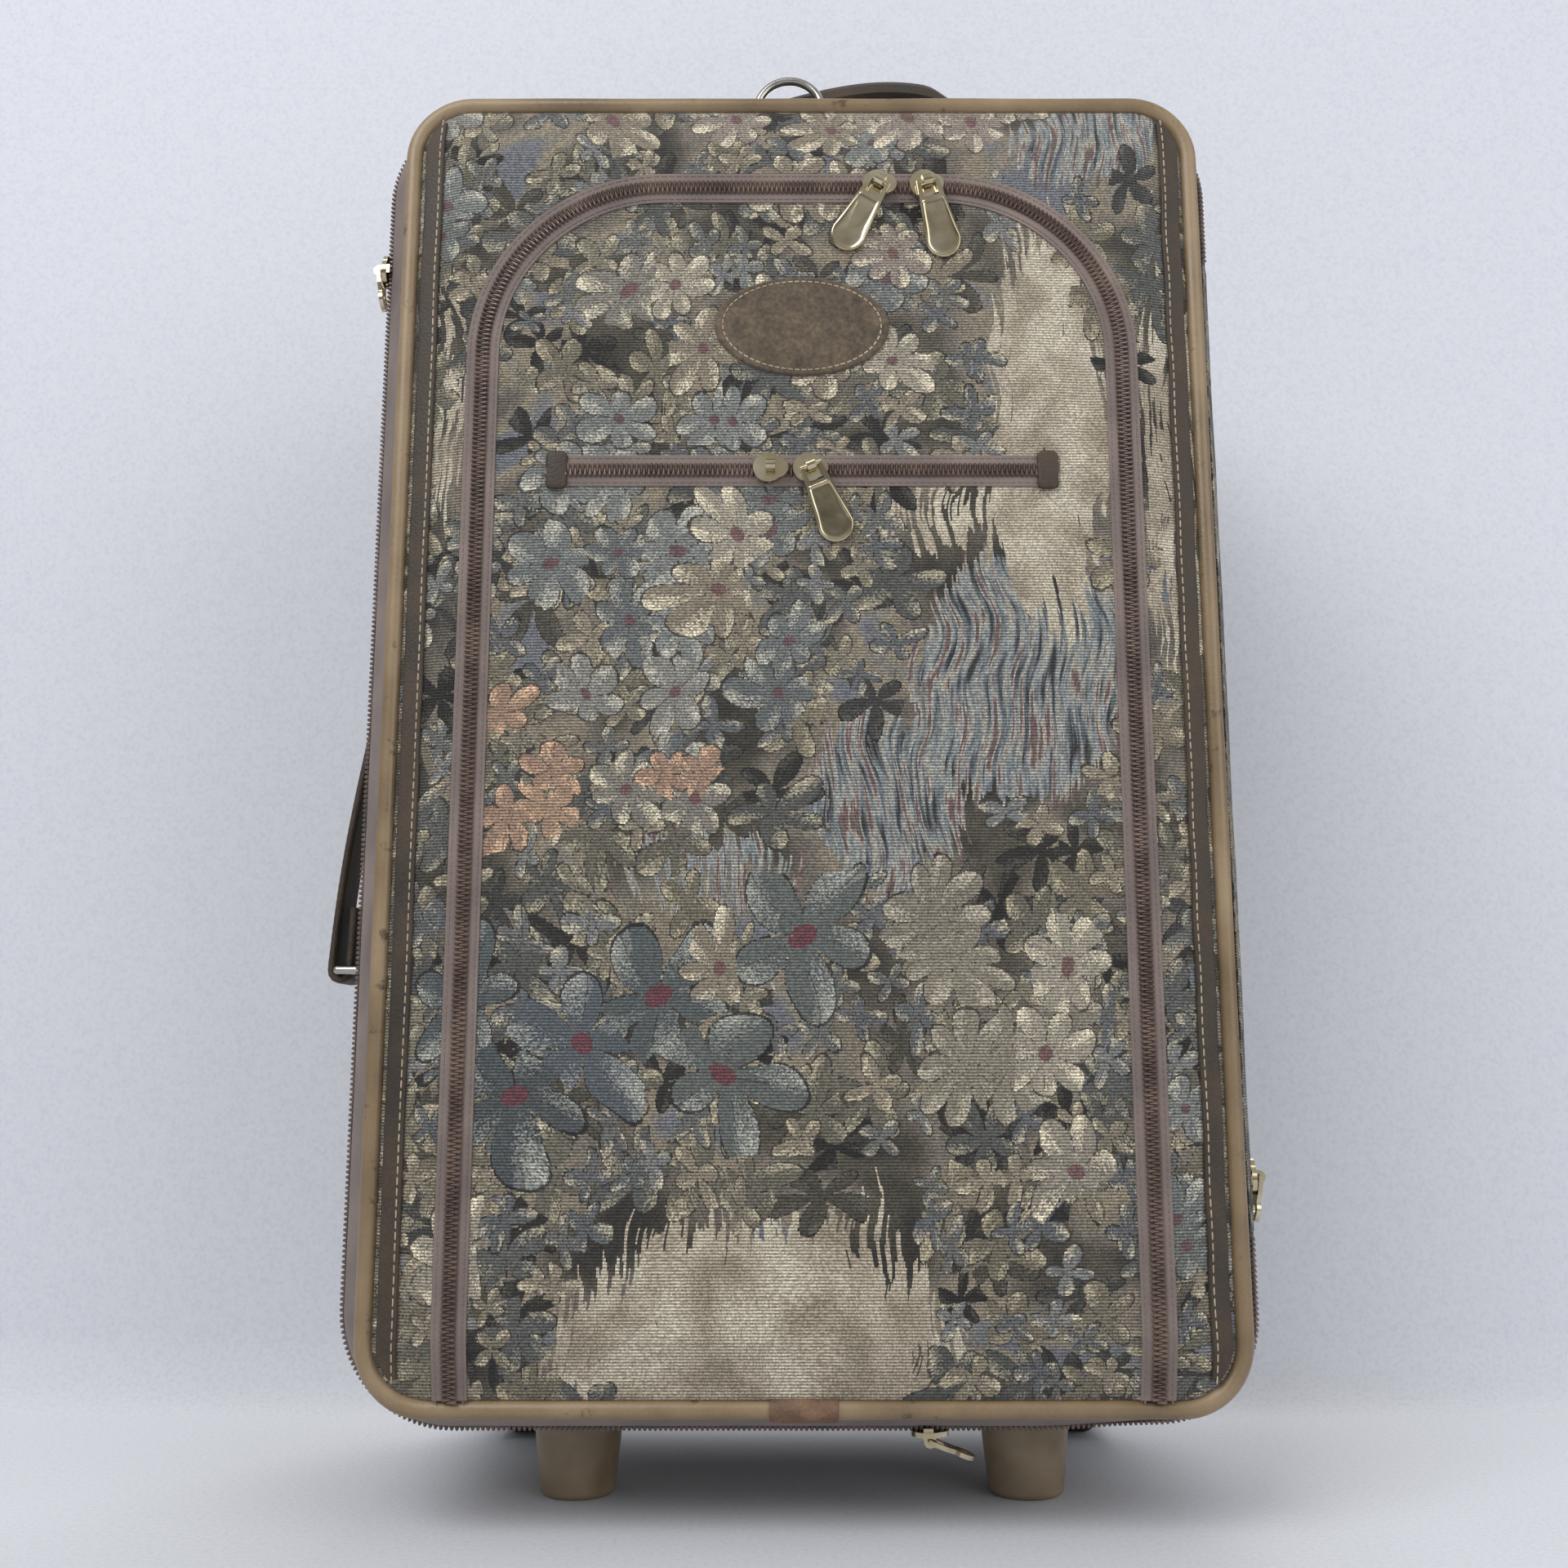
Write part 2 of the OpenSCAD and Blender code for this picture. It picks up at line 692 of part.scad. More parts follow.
ring_bar_z = case_z1 + anchor_t + loop_sleeve;
ring_mid_r = (ring_in + wire_d) / 2;

module ring_chape() color("#5a4836") placed() translate([ring_x, ring_y, 0]) difference() {
  chape_w = ring_in - 2;
  union() {
    translate([-chape_w / 2, -loop_sleeve, case_z1])
      cube([chape_w, 2 * loop_sleeve, anchor_t + loop_sleeve]);
    translate([-chape_w / 2, 0, ring_bar_z]) rotate([0, 90, 0]) cylinder(r = loop_sleeve, h = chape_w);
  }
  translate([-ring_in, 0, ring_bar_z]) rotate([0, 90, 0])
    cylinder(d = wire_d + 2 * seam_gap, h = 2 * ring_in);
}

module d_ring() color("#8f8f8c") placed() translate([ring_x, ring_y, ring_bar_z]) {
  leg = ring_rise - (ring_bar_z - case_z1) - ring_mid_r - wire_d / 2;
  translate([-ring_mid_r, 0, 0]) rotate([0, 90, 0]) cylinder(d = wire_d, h = 2 * ring_mid_r);
  for (s = [-1, 1]) translate([s * ring_mid_r, 0, 0]) {
    sphere(d = wire_d);
    cylinder(d = wire_d, h = leg);
  }
  translate([0, 0, leg]) rotate([90, 0, 0]) rotate_extrude(angle = 180)
    translate([ring_mid_r, 0]) circle(d = wire_d);
}

// A rectangular wire loop in the xy plane, its inner bar on the y axis
module wire_loop(out, half) {
  for (x = [0, -out]) translate([x, -half, 0]) rotate([-90, 0, 0]) cylinder(d = wire_d, h = 2 * half);
  for (y = [-half, half]) translate([-out, y, 0]) {
    rotate([0, 90, 0]) cylinder(d = wire_d, h = out);
    sphere(d = wire_d);
    translate([out, 0, 0]) sphere(d = wire_d);
  }
}

side_bar_x = side_wall_x - loop_sleeve;
loop_half = strap_w / 2 + wire_d / 2 + 1;
loop_flat = 14;

// The lower loop stands out from the case, the upper one lies up against it
module side_loop_low() {
  translate([side_bar_x, side_handle_y, side_low_z]) children();
}
module side_loop_high() {
  translate([side_bar_x, side_handle_y, side_high_z]) rotate([0, -90, 0]) children();
}

module side_handle_loops() color("#8f8f8c") placed() {
  side_loop_low() wire_loop(loop_out, loop_half);
  side_loop_high() wire_loop(loop_flat, loop_half);
}

// Leather sleeves that hold the loops, on pads sewn to the side above and below the strap
module side_handle_anchors() color("#5a4836") placed()
  for (end = [-1, 1]) let(z = end < 0 ? side_low_z : side_high_z) difference() {
    union() {
      translate([side_wall_x + anchor_t / 2, side_handle_y, z + end * (anchor_pad / 2 - loop_sleeve)])
        cube([anchor_t, anchor_pad, anchor_pad], center = true);
      translate([side_bar_x, side_handle_y - strap_w / 2, z]) rotate([-90, 0, 0])
        cylinder(r = loop_sleeve, h = strap_w);
      translate([side_bar_x, side_handle_y - strap_w / 2, z - loop_sleeve])
        cube([loop_sleeve, strap_w, 2 * loop_sleeve]);
    }
    translate([side_bar_x, side_handle_y - strap_w, z]) rotate([-90, 0, 0])
      cylinder(d = wire_d + 2 * seam_gap, h = 2 * strap_w);
  }

// The strap runs from the lower loop's outer bar up to the upper loop's bar, folded round each
module side_handle_strap() color("#544330") placed() {
  fold_r = wire_d / 2 + seam_gap + strap_t;
  low = [side_bar_x - loop_out, side_low_z];
  high = [side_bar_x, side_high_z - loop_flat];
  run = high - low;
  lean = atan2(run[1], run[0]);
  slab(side_handle_y - strap_w / 2, strap_w) difference() {
    union() {
      translate(low) circle(fold_r);
      translate(high) circle(fold_r);
      translate(low) rotate(lean) translate([0, fold_r - strap_t]) square([norm(run), strap_t]);
    }
    translate(low) circle(fold_r - strap_t);
    translate(high) circle(fold_r - strap_t);
  }
}

// Trolley handle

module tube_places() {
  for (s = [-1, 1]) translate([case_mid_x + s * tube_half, tube_y, 0]) children();
}

// A block round the cup's inside, grown sideways, from z0 upwards
module cup_block(grow, z0, h) {
  half_w = cup_half - cup_wall + grow;
  half_d = cup_in_d / 2 + grow;
  translate([case_mid_x - half_w, tube_y - half_d, z0]) cube([2 * half_w, 2 * half_d, h]);
}

module trolley_cup() color("#3a3632") placed() difference() {
  union() {
    cup_block(cup_wall, cup_z0, cup_depth);
    cup_block(cup_wall + cup_lip, case_z1, cup_wall);
  }
  cup_block(0, cup_floor_z, 2 * cup_depth);
  tube_places() translate([0, 0, cup_z0 - 1]) cylinder(r = inner_tube_r + run_gap, h = cup_wall + 2);
}

module outer_tubes() color("#9a9a98") placed() tube_places() difference() {
  translate([0, 0, socket_z + wall]) cylinder(r = outer_tube_r, h = cup_z0 - socket_z - wall);
  translate([0, 0, socket_z]) cylinder(r = outer_tube_r - tube_wall, h = cup_z0);
}

module tube_sockets() color("#3a3632") placed() tube_places() difference() {
  translate([0, 0, socket_z]) cylinder(r = outer_tube_r + socket_wall, h = socket_h);
  translate([0, 0, socket_z + wall]) cylinder(r = outer_tube_r + axle_gap, h = socket_h);
}

module inner_tubes() color("#b4b4b2") placed() tube_places() difference() {
  translate([0, 0, inner_tube_z]) cylinder(r = inner_tube_r, h = grip_z1 - tube_wall * 4 - inner_tube_z);
  translate([0, 0, inner_tube_z - 1]) cylinder(r = inner_tube_r - tube_wall, h = grip_z1);
  lock_pin(axle_gap);
}

module lock_pin(grow) {
  translate([0, 0, inner_tube_z + 3 * pin_r]) rotate([90, 0, 0])
    cylinder(r = pin_r + grow, h = inner_tube_r + run_gap / 2);
}

module lock_pins() color("#9a9a98") placed() tube_places() intersection() {
  lock_pin(0);
  cylinder(r = inner_tube_r + run_gap / 3, h = case_z1);
}

module button_pocket(grow, z0, h) {
  translate([case_mid_x, tube_y, z0]) linear_extrude(h) {
    square([button_l - button_w, button_w + 2 * grow], center = true);
    for (s = [-1, 1]) translate([s * (button_l - button_w) / 2, 0]) circle(d = button_w + 2 * grow);
  }
}

module trolley_grip() color("#3a3632") placed() difference() {
  edge = trolley_grip_h / 4;
  translate([case_mid_x - grip_x, tube_y, 0]) rotate([90, 0, 90]) linear_extrude(2 * grip_x)
    round_rect(-trolley_grip_d / 2, grip_z0, trolley_grip_d / 2, grip_z1, edge);
  tube_places() translate([0, 0, grip_z0 - 1])
    cylinder(r = inner_tube_r + axle_gap, h = trolley_grip_h - 4 * tube_wall + 1 + seam_gap);
  button_pocket(run_gap, button_z0 - spring_h, trolley_grip_h);
}

module release_button() color("#55504a") placed()
  button_pocket(0, button_z0, button_h);

// A coil spring under the button, swept as one tube along a helix
function climb(a) = spring_wire / 2 + (spring_h - spring_wire) * a / (360 * spring_turns);
function helix(a) = [spring_r * cos(a), spring_r * sin(a), climb(a)];
module button_spring() color("#8f8f8c") placed() translate([case_mid_x, tube_y, button_z0 - spring_h]) {
  sides = 8;
  rings = 12 * spring_turns;
  ring_at = function(i) let(a = 360 * spring_turns * i / rings) [
    for (k = [0:sides - 1]) let(b = 360 * k / sides)
      helix(a) + spring_wire / 2 * [cos(a) * cos(b), sin(a) * cos(b), sin(b)]
  ];
  points = [for (i = [0:rings]) each ring_at(i)];
  walls = [
    for (i = [0:rings - 1], k = [0:sides - 1])
      [i * sides + k, i * sides + (k + 1) % sides, (i + 1) * sides + (k + 1) % sides, (i + 1) * sides + k]
  ];
  ends = [[for (k = [sides - 1:-1:0]) k], [for (k = [0:sides - 1]) rings * sides + k]];
  polyhedron(points, concat(walls, ends));
}

// Wheels and feet

module wheel_housings() color("#3a3632") placed() difference() {
  intersection() {
    wheel_places() cylinder(r = housing_r, h = housing_w, center = true);
    translate([case_x0, axle_y - 2 * housing_r, housing_low])
      cube([case_x1 - case_x0, housing_back - axle_y + 2 * housing_r, 4 * housing_r]);
  }
  wheel_places() cylinder(r = housing_r - housing_wall, h = slot_w, center = true);
  wheel_places() cylinder(r = axle_r + hair, h = 2 * housing_w, center = true);
}

module axles() color("#8f8f8c") placed() wheel_places() {
  cylinder(r = axle_r, h = housing_w, center = true);
  for (s = [-1, 1]) translate([0, 0, s * (housing_w + axle_head_t) / 2])
    cylinder(r = axle_head_r, h = axle_head_t, center = true);
}

hub_r = wheel_r - tyre_t;
hub_wall = 3;

module wheel_hub() {
  rotate_extrude() {
    translate([axle_r + axle_gap, -wheel_w / 2]) square([hub_wall, wheel_w]);
    translate([axle_r + axle_gap, -wheel_w / 8]) square([hub_r - axle_r - axle_gap, wheel_w / 4]);
    translate([hub_r - hub_wall, -wheel_w / 2 + 1]) square([hub_wall, wheel_w - 2]);
  }
}

module tyre() {
  edge = tyre_t / 2;
  rotate_extrude() {
    translate([hub_r + hair, -wheel_w / 2]) square([tyre_t - edge, wheel_w]);
    translate([hub_r + hair, -wheel_w / 2 + edge]) square([tyre_t - hair, wheel_w - 2 * edge]);
    for (s = [-1, 1]) translate([wheel_r - edge, s * (wheel_w / 2 - edge)]) circle(edge);
  }
}

module wheel_hub_left() color("#4a4641") placed() at_wheel(-1) wheel_hub();
module wheel_hub_right() color("#4a4641") placed() at_wheel(1) wheel_hub();
module tyre_left() color("#2a2826") placed() at_wheel(-1) tyre();
module tyre_right() color("#2a2826") placed() at_wheel(1) tyre();

module foot_places() {
  for (s = [-1, 1]) translate([s * foot_half, foot_y, 0]) children();
}

// Half of a foot's section: a taper with a rounded lower edge
module foot_section() {
  low_r = foot_low_d / 2;
  polygon([[0, 0], [low_r - foot_round, 0], [low_r, foot_round], [foot_top_d / 2, foot_h], [0, foot_h]]);
  translate([low_r - foot_round, foot_round]) circle(foot_round);
}

module feet() color("#8c7a60") placed() foot_places() difference() {
  rotate_extrude() foot_section();
  translate([0, 0, -1]) cylinder(r = screw_head_r + seam_gap, h = foot_h - foot_wall + 1);
  cylinder(r = screw_r + axle_gap, h = 2 * foot_h);
}

module foot_screws() color("#8f8f8c") placed() foot_places() {
  translate([0, 0, foot_h - foot_wall - screw_in]) cylinder(r = screw_head_r, h = screw_in);
  translate([0, 0, foot_h - foot_wall]) cylinder(r = screw_r, h = foot_wall);
}

front_panel();
lid_frame();
lid_zip_tape();
front_piping();
piping_wrap();
leather_strips();
oval_patch();
pocket_zip_tape();
pocket_zip_coil();
slip_zip_tape();
slip_zip_coil();
slip_zip_tabs();
pocket_slider_left();
pocket_pull_left();
pocket_slider_right();
pocket_pull_right();
slip_slider_left();
slip_slider_right();
slip_pull();
case_shell();
inner_lining();
back_panel();
rear_piping();
main_zip_tape();
main_zip_coil();
hinge_strip();
expansion_tape();
expansion_coil();
side_slider();
side_pull();
bottom_slider();
bottom_pull();
expansion_slider();
expansion_pull();
top_handle_strap();
top_handle_grip();
top_handle_anchors();
ring_chape();
d_ring();
side_handle_strap();
side_handle_loops();
side_handle_anchors();
trolley_cup();
outer_tubes();
tube_sockets();
inner_tubes();
lock_pins();
trolley_grip();
release_button();
button_spring();
wheel_housings();
axles();
wheel_hub_left();
wheel_hub_right();
tyre_left();
tyre_right();
feet();
foot_screws();
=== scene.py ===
"""Looks of a soft-sided rolling suitcase in woven tapestry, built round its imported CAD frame."""
import json
import logging
import math
from dataclasses import dataclass, field
from enum import Enum
from typing import Any, Callable, Iterable, Optional, Sequence

import bmesh
import bpy
import numpy as np
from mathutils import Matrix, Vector

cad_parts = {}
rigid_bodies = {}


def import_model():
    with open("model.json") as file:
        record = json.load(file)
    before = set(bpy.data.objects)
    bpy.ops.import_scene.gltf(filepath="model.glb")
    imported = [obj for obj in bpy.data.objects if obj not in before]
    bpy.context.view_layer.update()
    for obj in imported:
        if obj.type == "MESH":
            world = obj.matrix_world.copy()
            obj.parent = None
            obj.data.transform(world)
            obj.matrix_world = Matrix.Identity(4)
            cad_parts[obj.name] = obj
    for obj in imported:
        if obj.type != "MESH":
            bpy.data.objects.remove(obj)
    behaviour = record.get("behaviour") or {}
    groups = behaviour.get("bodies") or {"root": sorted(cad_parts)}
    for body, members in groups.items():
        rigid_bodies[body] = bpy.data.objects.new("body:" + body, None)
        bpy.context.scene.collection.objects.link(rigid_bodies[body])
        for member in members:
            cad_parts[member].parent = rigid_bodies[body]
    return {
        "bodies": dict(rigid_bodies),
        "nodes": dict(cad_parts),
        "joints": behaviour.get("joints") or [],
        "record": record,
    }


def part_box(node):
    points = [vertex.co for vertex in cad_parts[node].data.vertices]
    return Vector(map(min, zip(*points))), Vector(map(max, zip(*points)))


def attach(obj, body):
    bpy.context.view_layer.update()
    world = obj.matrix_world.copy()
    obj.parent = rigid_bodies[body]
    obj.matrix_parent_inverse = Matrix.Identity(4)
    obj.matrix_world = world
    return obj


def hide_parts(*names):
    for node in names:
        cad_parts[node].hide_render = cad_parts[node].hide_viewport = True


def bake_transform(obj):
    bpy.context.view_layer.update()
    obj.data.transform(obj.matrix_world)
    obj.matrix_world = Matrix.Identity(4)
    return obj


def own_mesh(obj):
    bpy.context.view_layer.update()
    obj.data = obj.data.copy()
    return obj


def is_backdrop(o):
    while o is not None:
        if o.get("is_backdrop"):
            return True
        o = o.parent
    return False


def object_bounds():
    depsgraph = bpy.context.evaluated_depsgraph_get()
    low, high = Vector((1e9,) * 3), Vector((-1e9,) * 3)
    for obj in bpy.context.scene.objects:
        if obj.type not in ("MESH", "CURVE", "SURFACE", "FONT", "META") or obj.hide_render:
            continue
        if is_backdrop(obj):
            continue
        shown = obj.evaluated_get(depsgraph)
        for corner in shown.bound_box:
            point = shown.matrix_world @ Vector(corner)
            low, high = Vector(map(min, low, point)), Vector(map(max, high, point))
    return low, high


LOG = logging.getLogger("suitcase")
MM = 0.001
CLOTH = "cloth"
# Sockets of a colour Mix node: its factor and its two colours, and its result
MIX_SOCKETS, MIX_RESULT = (0, 6, 7), 2
# The setting that a node's mode goes to
MODES = {"Math": "operation", "VectorMath": "operation", "Mix": "blend_type", "MapRange": "interpolation_type",
         "TexNoise": "noise_dimensions", "TexWhiteNoise": "noise_dimensions", "TexVoronoi": "voronoi_dimensions"}
Array = np.ndarray
Faces = list[tuple[int, ...]]
Piece = bpy.types.Object


def linear(hex_colour: str) -> tuple[float, float, float, float]:
    """Turns an sRGB hex colour into linear values for a shader.

    Args:
        hex_colour: such as "#8f7a5e".

    Returns:
        Linear red, green and blue, and an alpha of 1.
    """
    parts = [int(hex_colour[i:i + 2], 16) / 255 for i in (1, 3, 5)]
    low = [c / 12.92 if c <= 0.04045 else ((c + 0.055) / 1.055) ** 2.4 for c in parts]
    return (low[0], low[1], low[2], 1.0)


@dataclass
class Graph:
    """A shader's node tree while it is put together, with its output sockets by name."""

    tree: bpy.types.NodeTree
    known: dict[str, bpy.types.NodeSocket] = field(default_factory=dict)

    def add(self, rows: Iterable[tuple], prefix: str = "") -> None:
        """Adds nodes, whose outputs are then known as "name", for the first, and "name.Output".

        Args:
            rows: name, kind after "ShaderNode" with its mode, what goes into the sockets in order, and last a
                dict of settings and sockets. A text that isn't a setting names a known output.
            prefix: goes before names that start with a dot or an underscore.
        """
        for name, kind, *values in rows:
            name = prefix + name if name[0] == "_" else name
            kind, _, mode = kind.partition(" ")
            node = self.tree.nodes.new(kind if kind == "NodeGroupOutput" else "ShaderNode" + kind)
            if kind == "Mix":
                node.data_type = "RGBA"
            if mode:
                setattr(node, MODES[kind], mode)
            named = values.pop() if values and isinstance(values[-1], dict) else {}
            places = MIX_SOCKETS if kind == "Mix" else range(len(values))
            for key, value in [*named.items(), *zip(places, values)]:
                if isinstance(key, str) and hasattr(node, key):
                    setattr(node, key, value)
                elif isinstance(value, str):
                    self.link(prefix + value if value[0] in "._" else value, node.inputs[key])
                else:
                    node.inputs[key].default_value = value
            for output in node.outputs:
                self.known[f"{name}.{output.name}"] = output
            if node.outputs:
                self.known[name] = node.outputs[MIX_RESULT if kind == "Mix" else 0]

    def link(self, name: str, socket: bpy.types.NodeSocket) -> None:
        """Links a known output to an input."""
        self.tree.links.new(self.known[name], socket)

    def ramp(self, name: str, stops: Sequence[tuple[float, str]], step: bool = False) -> None:
        """Sets the stops of a colour ramp.

        Args:
            name: the ramp.
            stops: places from 0 to 1 with hex colours.
            step: whether the colours change in steps.
        """
        ramp = self.known[name].node.color_ramp
        ramp.interpolation = "CONSTANT" if step else "LINEAR"
        while len(ramp.elements) < len(stops):
            ramp.elements.new(1.0)
        for element, (place, colour) in zip(ramp.elements, stops):
            element.position = place
            element.color = linear(colour)


def smooth_noise(points: Array, size: float, seed: int) -> Array:
    """Gives a smooth wandering value for each point, the same on every run.

    Args:
        points: places in millimetres, one row each.
        size: the length over which the value wanders.
        seed: picks the field.

    Returns:
        Values from about -1 to 1.
    """
    rng = np.random.default_rng(seed)
    total = np.zeros(len(points))
    for _ in range(6):
        wave = rng.normal(size=points.shape[1]) / size
        total += np.sin(points @ wave * 2.2 + rng.uniform(0, 2 * math.pi))
    return total / 3.2


def smooth_step(low: float, high: float, value: Array) -> Array:
    """Eases from 0 at low to 1 at high."""
    t = np.clip((value - low) / (high - low), 0, 1)
    return t * t * (3 - 2 * t)


@dataclass
class Datum:
    """Where the drawing's axes lie in the frame, and the sizes taken from the frame, in millimetres.

    x runs right from the middle of the front piping, y back from its front and z up from the floor.
    """

    x: float
    y: float
    panel_w: float
    panel_z0: float
    panel_z1: float
    piping_d: float
    panel_rise: float
    case_x0: float
    case_x1: float
    case_y0: float
    case_y1: float
    case_z0: float
    case_z1: float

    @classmethod
    def from_frame(cls) -> "Datum":
        """Reads the case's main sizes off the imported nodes."""
        low, high = (np.array(c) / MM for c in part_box("front_piping"))
        shell_low, shell_high = (np.array(c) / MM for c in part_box("case_shell"))
        x, y = (low[0] + high[0]) / 2, low[1]
        front = np.array(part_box("front_panel")[0]) / MM
        return cls(x=x, y=y, panel_w=high[0] - low[0], panel_z0=low[2], panel_z1=high[2],
                   piping_d=high[1] - low[1], panel_rise=y - front[1],
                   case_x0=shell_low[0] - x, case_x1=shell_high[0] - x,
                   case_y0=shell_low[1] - y, case_y1=shell_high[1] - y,
                   case_z0=shell_low[2], case_z1=shell_high[2])

    def world(self, points: Array) -> Array:
        """Turns drawing millimetres into frame metres."""
        return (np.asarray(points, float) + (self.x, self.y, 0)) * MM

    def node_box(self, node: str) -> tuple[Array, Array]:
        """Gives a CAD node's corners in drawing millimetres."""
        low, high = (np.array(c) / MM - (self.x, self.y, 0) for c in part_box(node))
        return low, high


@dataclass
class Shape:
    """Vertices and faces of a mesh while it is being put together, in drawing millimetres."""

    points: list[Array] = field(default_factory=list)
    faces: Faces = field(default_factory=list)
    slots: list[int] = field(default_factory=list)
    cloth: list[Array] = field(default_factory=list)
    count: int = 0

    def add(self, points: Array, faces: Iterable[Sequence[int]], slot: int = 0,
            cloth: Optional[Array] = None) -> "Shape":
        """Adds a patch of vertices with its faces.

        Args:
            points: one row for each vertex.
            faces: vertex numbers within the patch.
            slot: the faces' material slot.
            cloth: the vertices' places on the flat cloth, in millimetres.

        Returns:
            This shape.
        """
        points = np.asarray(points, float)
        self.points.append(points)
        self.cloth.append(points[:, [0, 2, 1]] if cloth is None else np.asarray(cloth, float))
        new = [tuple(int(i) + self.count for i in f) for f in faces]
        self.faces.extend(new)
        self.slots.extend([slot] * len(new))
        self.count += len(points)
        return self

    def join(self, other: "Shape") -> "Shape":
        """Adds all of another shape to this one."""
        for patch, flat in zip(other.points, other.cloth):
            self.points.append(patch)
            self.cloth.append(flat)
        self.faces.extend(tuple(i + self.count for i in f) for f in other.faces)
        self.slots.extend(other.slots)
        self.count += other.count
        return self

    def piece(self, name: str, owner: "Assembly", *finishes: "Finish", angle: float = 40.0) -> Piece:
        """Makes the Blender object.

        Args:
            name: its name.
            owner: the sub-assembly that it belongs to.
            finishes: the finishes of its slots.
            angle: edges sharper than this many degrees stay sharp.

        Returns:
            The object, linked to the scene.
        """
        mesh = bpy.data.meshes.new(name)
        mesh.from_pydata(owner.datum.world(np.vstack(self.points)).tolist(), [], self.faces)
        mesh.validate()
        flat = mesh.attributes.new(CLOTH, "FLOAT_VECTOR", "POINT")
        flat.data.foreach_set("vector", np.vstack(self.cloth).astype(np.float32).ravel())
        for finish in finishes:
            mesh.materials.append(owner.finishes.of(finish))
        mesh.polygons.foreach_set("material_index", self.slots)
        obj = bpy.data.objects.new(name, mesh)
        bpy.context.scene.collection.objects.link(obj)
        tidy = bmesh.new()
        tidy.from_mesh(mesh)
        bmesh.ops.recalc_face_normals(tidy, faces=tidy.faces)
        tidy.to_mesh(mesh)
        tidy.free()
        mesh.shade_smooth()
        mesh.set_sharp_from_angle(angle=math.radians(angle))
        return obj


def strip_faces(rows: int, columns: int, wrap_rows: bool = False, wrap_columns: bool = False) -> Faces:
    """Lists the quads of a grid of vertices kept row by row.

    Args:
        rows, columns: how many of each.
        wrap_rows, wrap_columns: whether the last joins the first.

    Returns:
        Four vertex numbers for each face.
    """
    faces = []
    for r in range(rows if wrap_rows else rows - 1):
        for c in range(columns if wrap_columns else columns - 1):
            r2, c2 = (r + 1) % rows, (c + 1) % columns
            faces.append((r * columns + c, r * columns + c2, r2 * columns + c2, r2 * columns + c))
    return faces


def lengths(path: Array, closed: bool = False) -> Array:
    """Gives the distance along a path at each of its points, with the whole length last if closed."""
    ahead = np.roll(path, -1, axis=0) if closed else path[1:]
    behind = path if closed else path[:-1]
    return np.concatenate([[0], np.cumsum(np.linalg.norm(ahead - behind, axis=1))])


def resample(path: Array, step: float, closed: bool = False) -> Array:
    """Spaces points evenly along a path.

    Args:
        path: points in order.
        step: about how far apart the new points lie.
        closed: whether the path joins its start.

    Returns:
        The new points.
    """
    along = lengths(path, closed)
    full = np.vstack([path, path[:1]]) if closed else path
    n = max(2, round(along[-1] / step))
    where = np.linspace(0, along[-1], n + 1)[: n if closed else n + 1]
    return np.column_stack([np.interp(where, along, full[:, k]) for k in range(path.shape[1])])


def directions(path: Array, closed: bool = False) -> Array:
    """Gives the unit direction of travel at each point of a path."""
    if closed:
        steps = np.roll(path, -1, axis=0) - np.roll(path, 1, axis=0)
    else:
        steps = np.gradient(path, axis=0)
    return steps / np.linalg.norm(steps, axis=1, keepdims=True)


def sweep(path: Array, side: Array, up: Array, profile: Array, closed: bool = False) -> Shape:
    """Sweeps a closed outline along a path.

    Args:
        path: points along the middle.
        side, up: unit directions of the outline's axes at each point.
        profile: the outline, one for all points or one for each.
        closed: whether the path joins its start.

    Returns:
        A closed shape.
    """
    profile = np.asarray(profile, float)
    if profile.ndim == 2:
        profile = np.broadcast_to(profile, (len(path),) + profile.shape)
    side, up = (np.broadcast_to(axis, path.shape) for axis in (side, up))
    points = path[:, None, :] + profile[:, :, :1] * side[:, None, :] + profile[:, :, 1:] * up[:, None, :]
    n, k = points.shape[:2]
    faces = strip_faces(n, k, closed, True)
    if not closed:
        faces += [tuple(range(k - 1, -1, -1)), tuple((n - 1) * k + i for i in range(k))]
    along = lengths(path)[:, None] * np.ones((1, k))
    around = np.concatenate([[0], np.cumsum(np.linalg.norm(np.diff(profile[0], axis=0), axis=1))])
    cloth = np.stack([along, np.broadcast_to(around, along.shape), np.zeros_like(along)], axis=-1)
    return Shape().add(points.reshape(-1, 3), faces, cloth=cloth.reshape(-1, 3))


def round_profile(r: float, sides: int) -> Array:
    """Gives a circle as an outline."""
    a = np.arange(sides) / sides * 2 * math.pi
    return np.column_stack([np.cos(a), np.sin(a)]) * r


def strap_profile(width: float, thick: float, crown: float = 0.0, across: int = 10) -> Array:
    """Gives the outline of a strap with rounded edges.

    Args:
        width, thick: its sizes along the two axes.
        crown: how much its middle stands above its edges.
        across: steps across each face.

    Returns:
        Points in order.
    """
    r = thick / 2
    flat = np.linspace(-width / 2 + r, width / 2 - r, across)
    lift = crown * (1 - (2 * flat / width) ** 2)
    turns = np.radians([-60, -20, 20, 60])
    right = np.column_stack([width / 2 - r + r * np.cos(turns), r * np.sin(turns)])
    left = -right
    low = np.column_stack([flat, np.full_like(flat, -r)])
    top = np.column_stack([flat[::-1], r + lift[::-1]])
    return np.vstack([low, right, top, left])


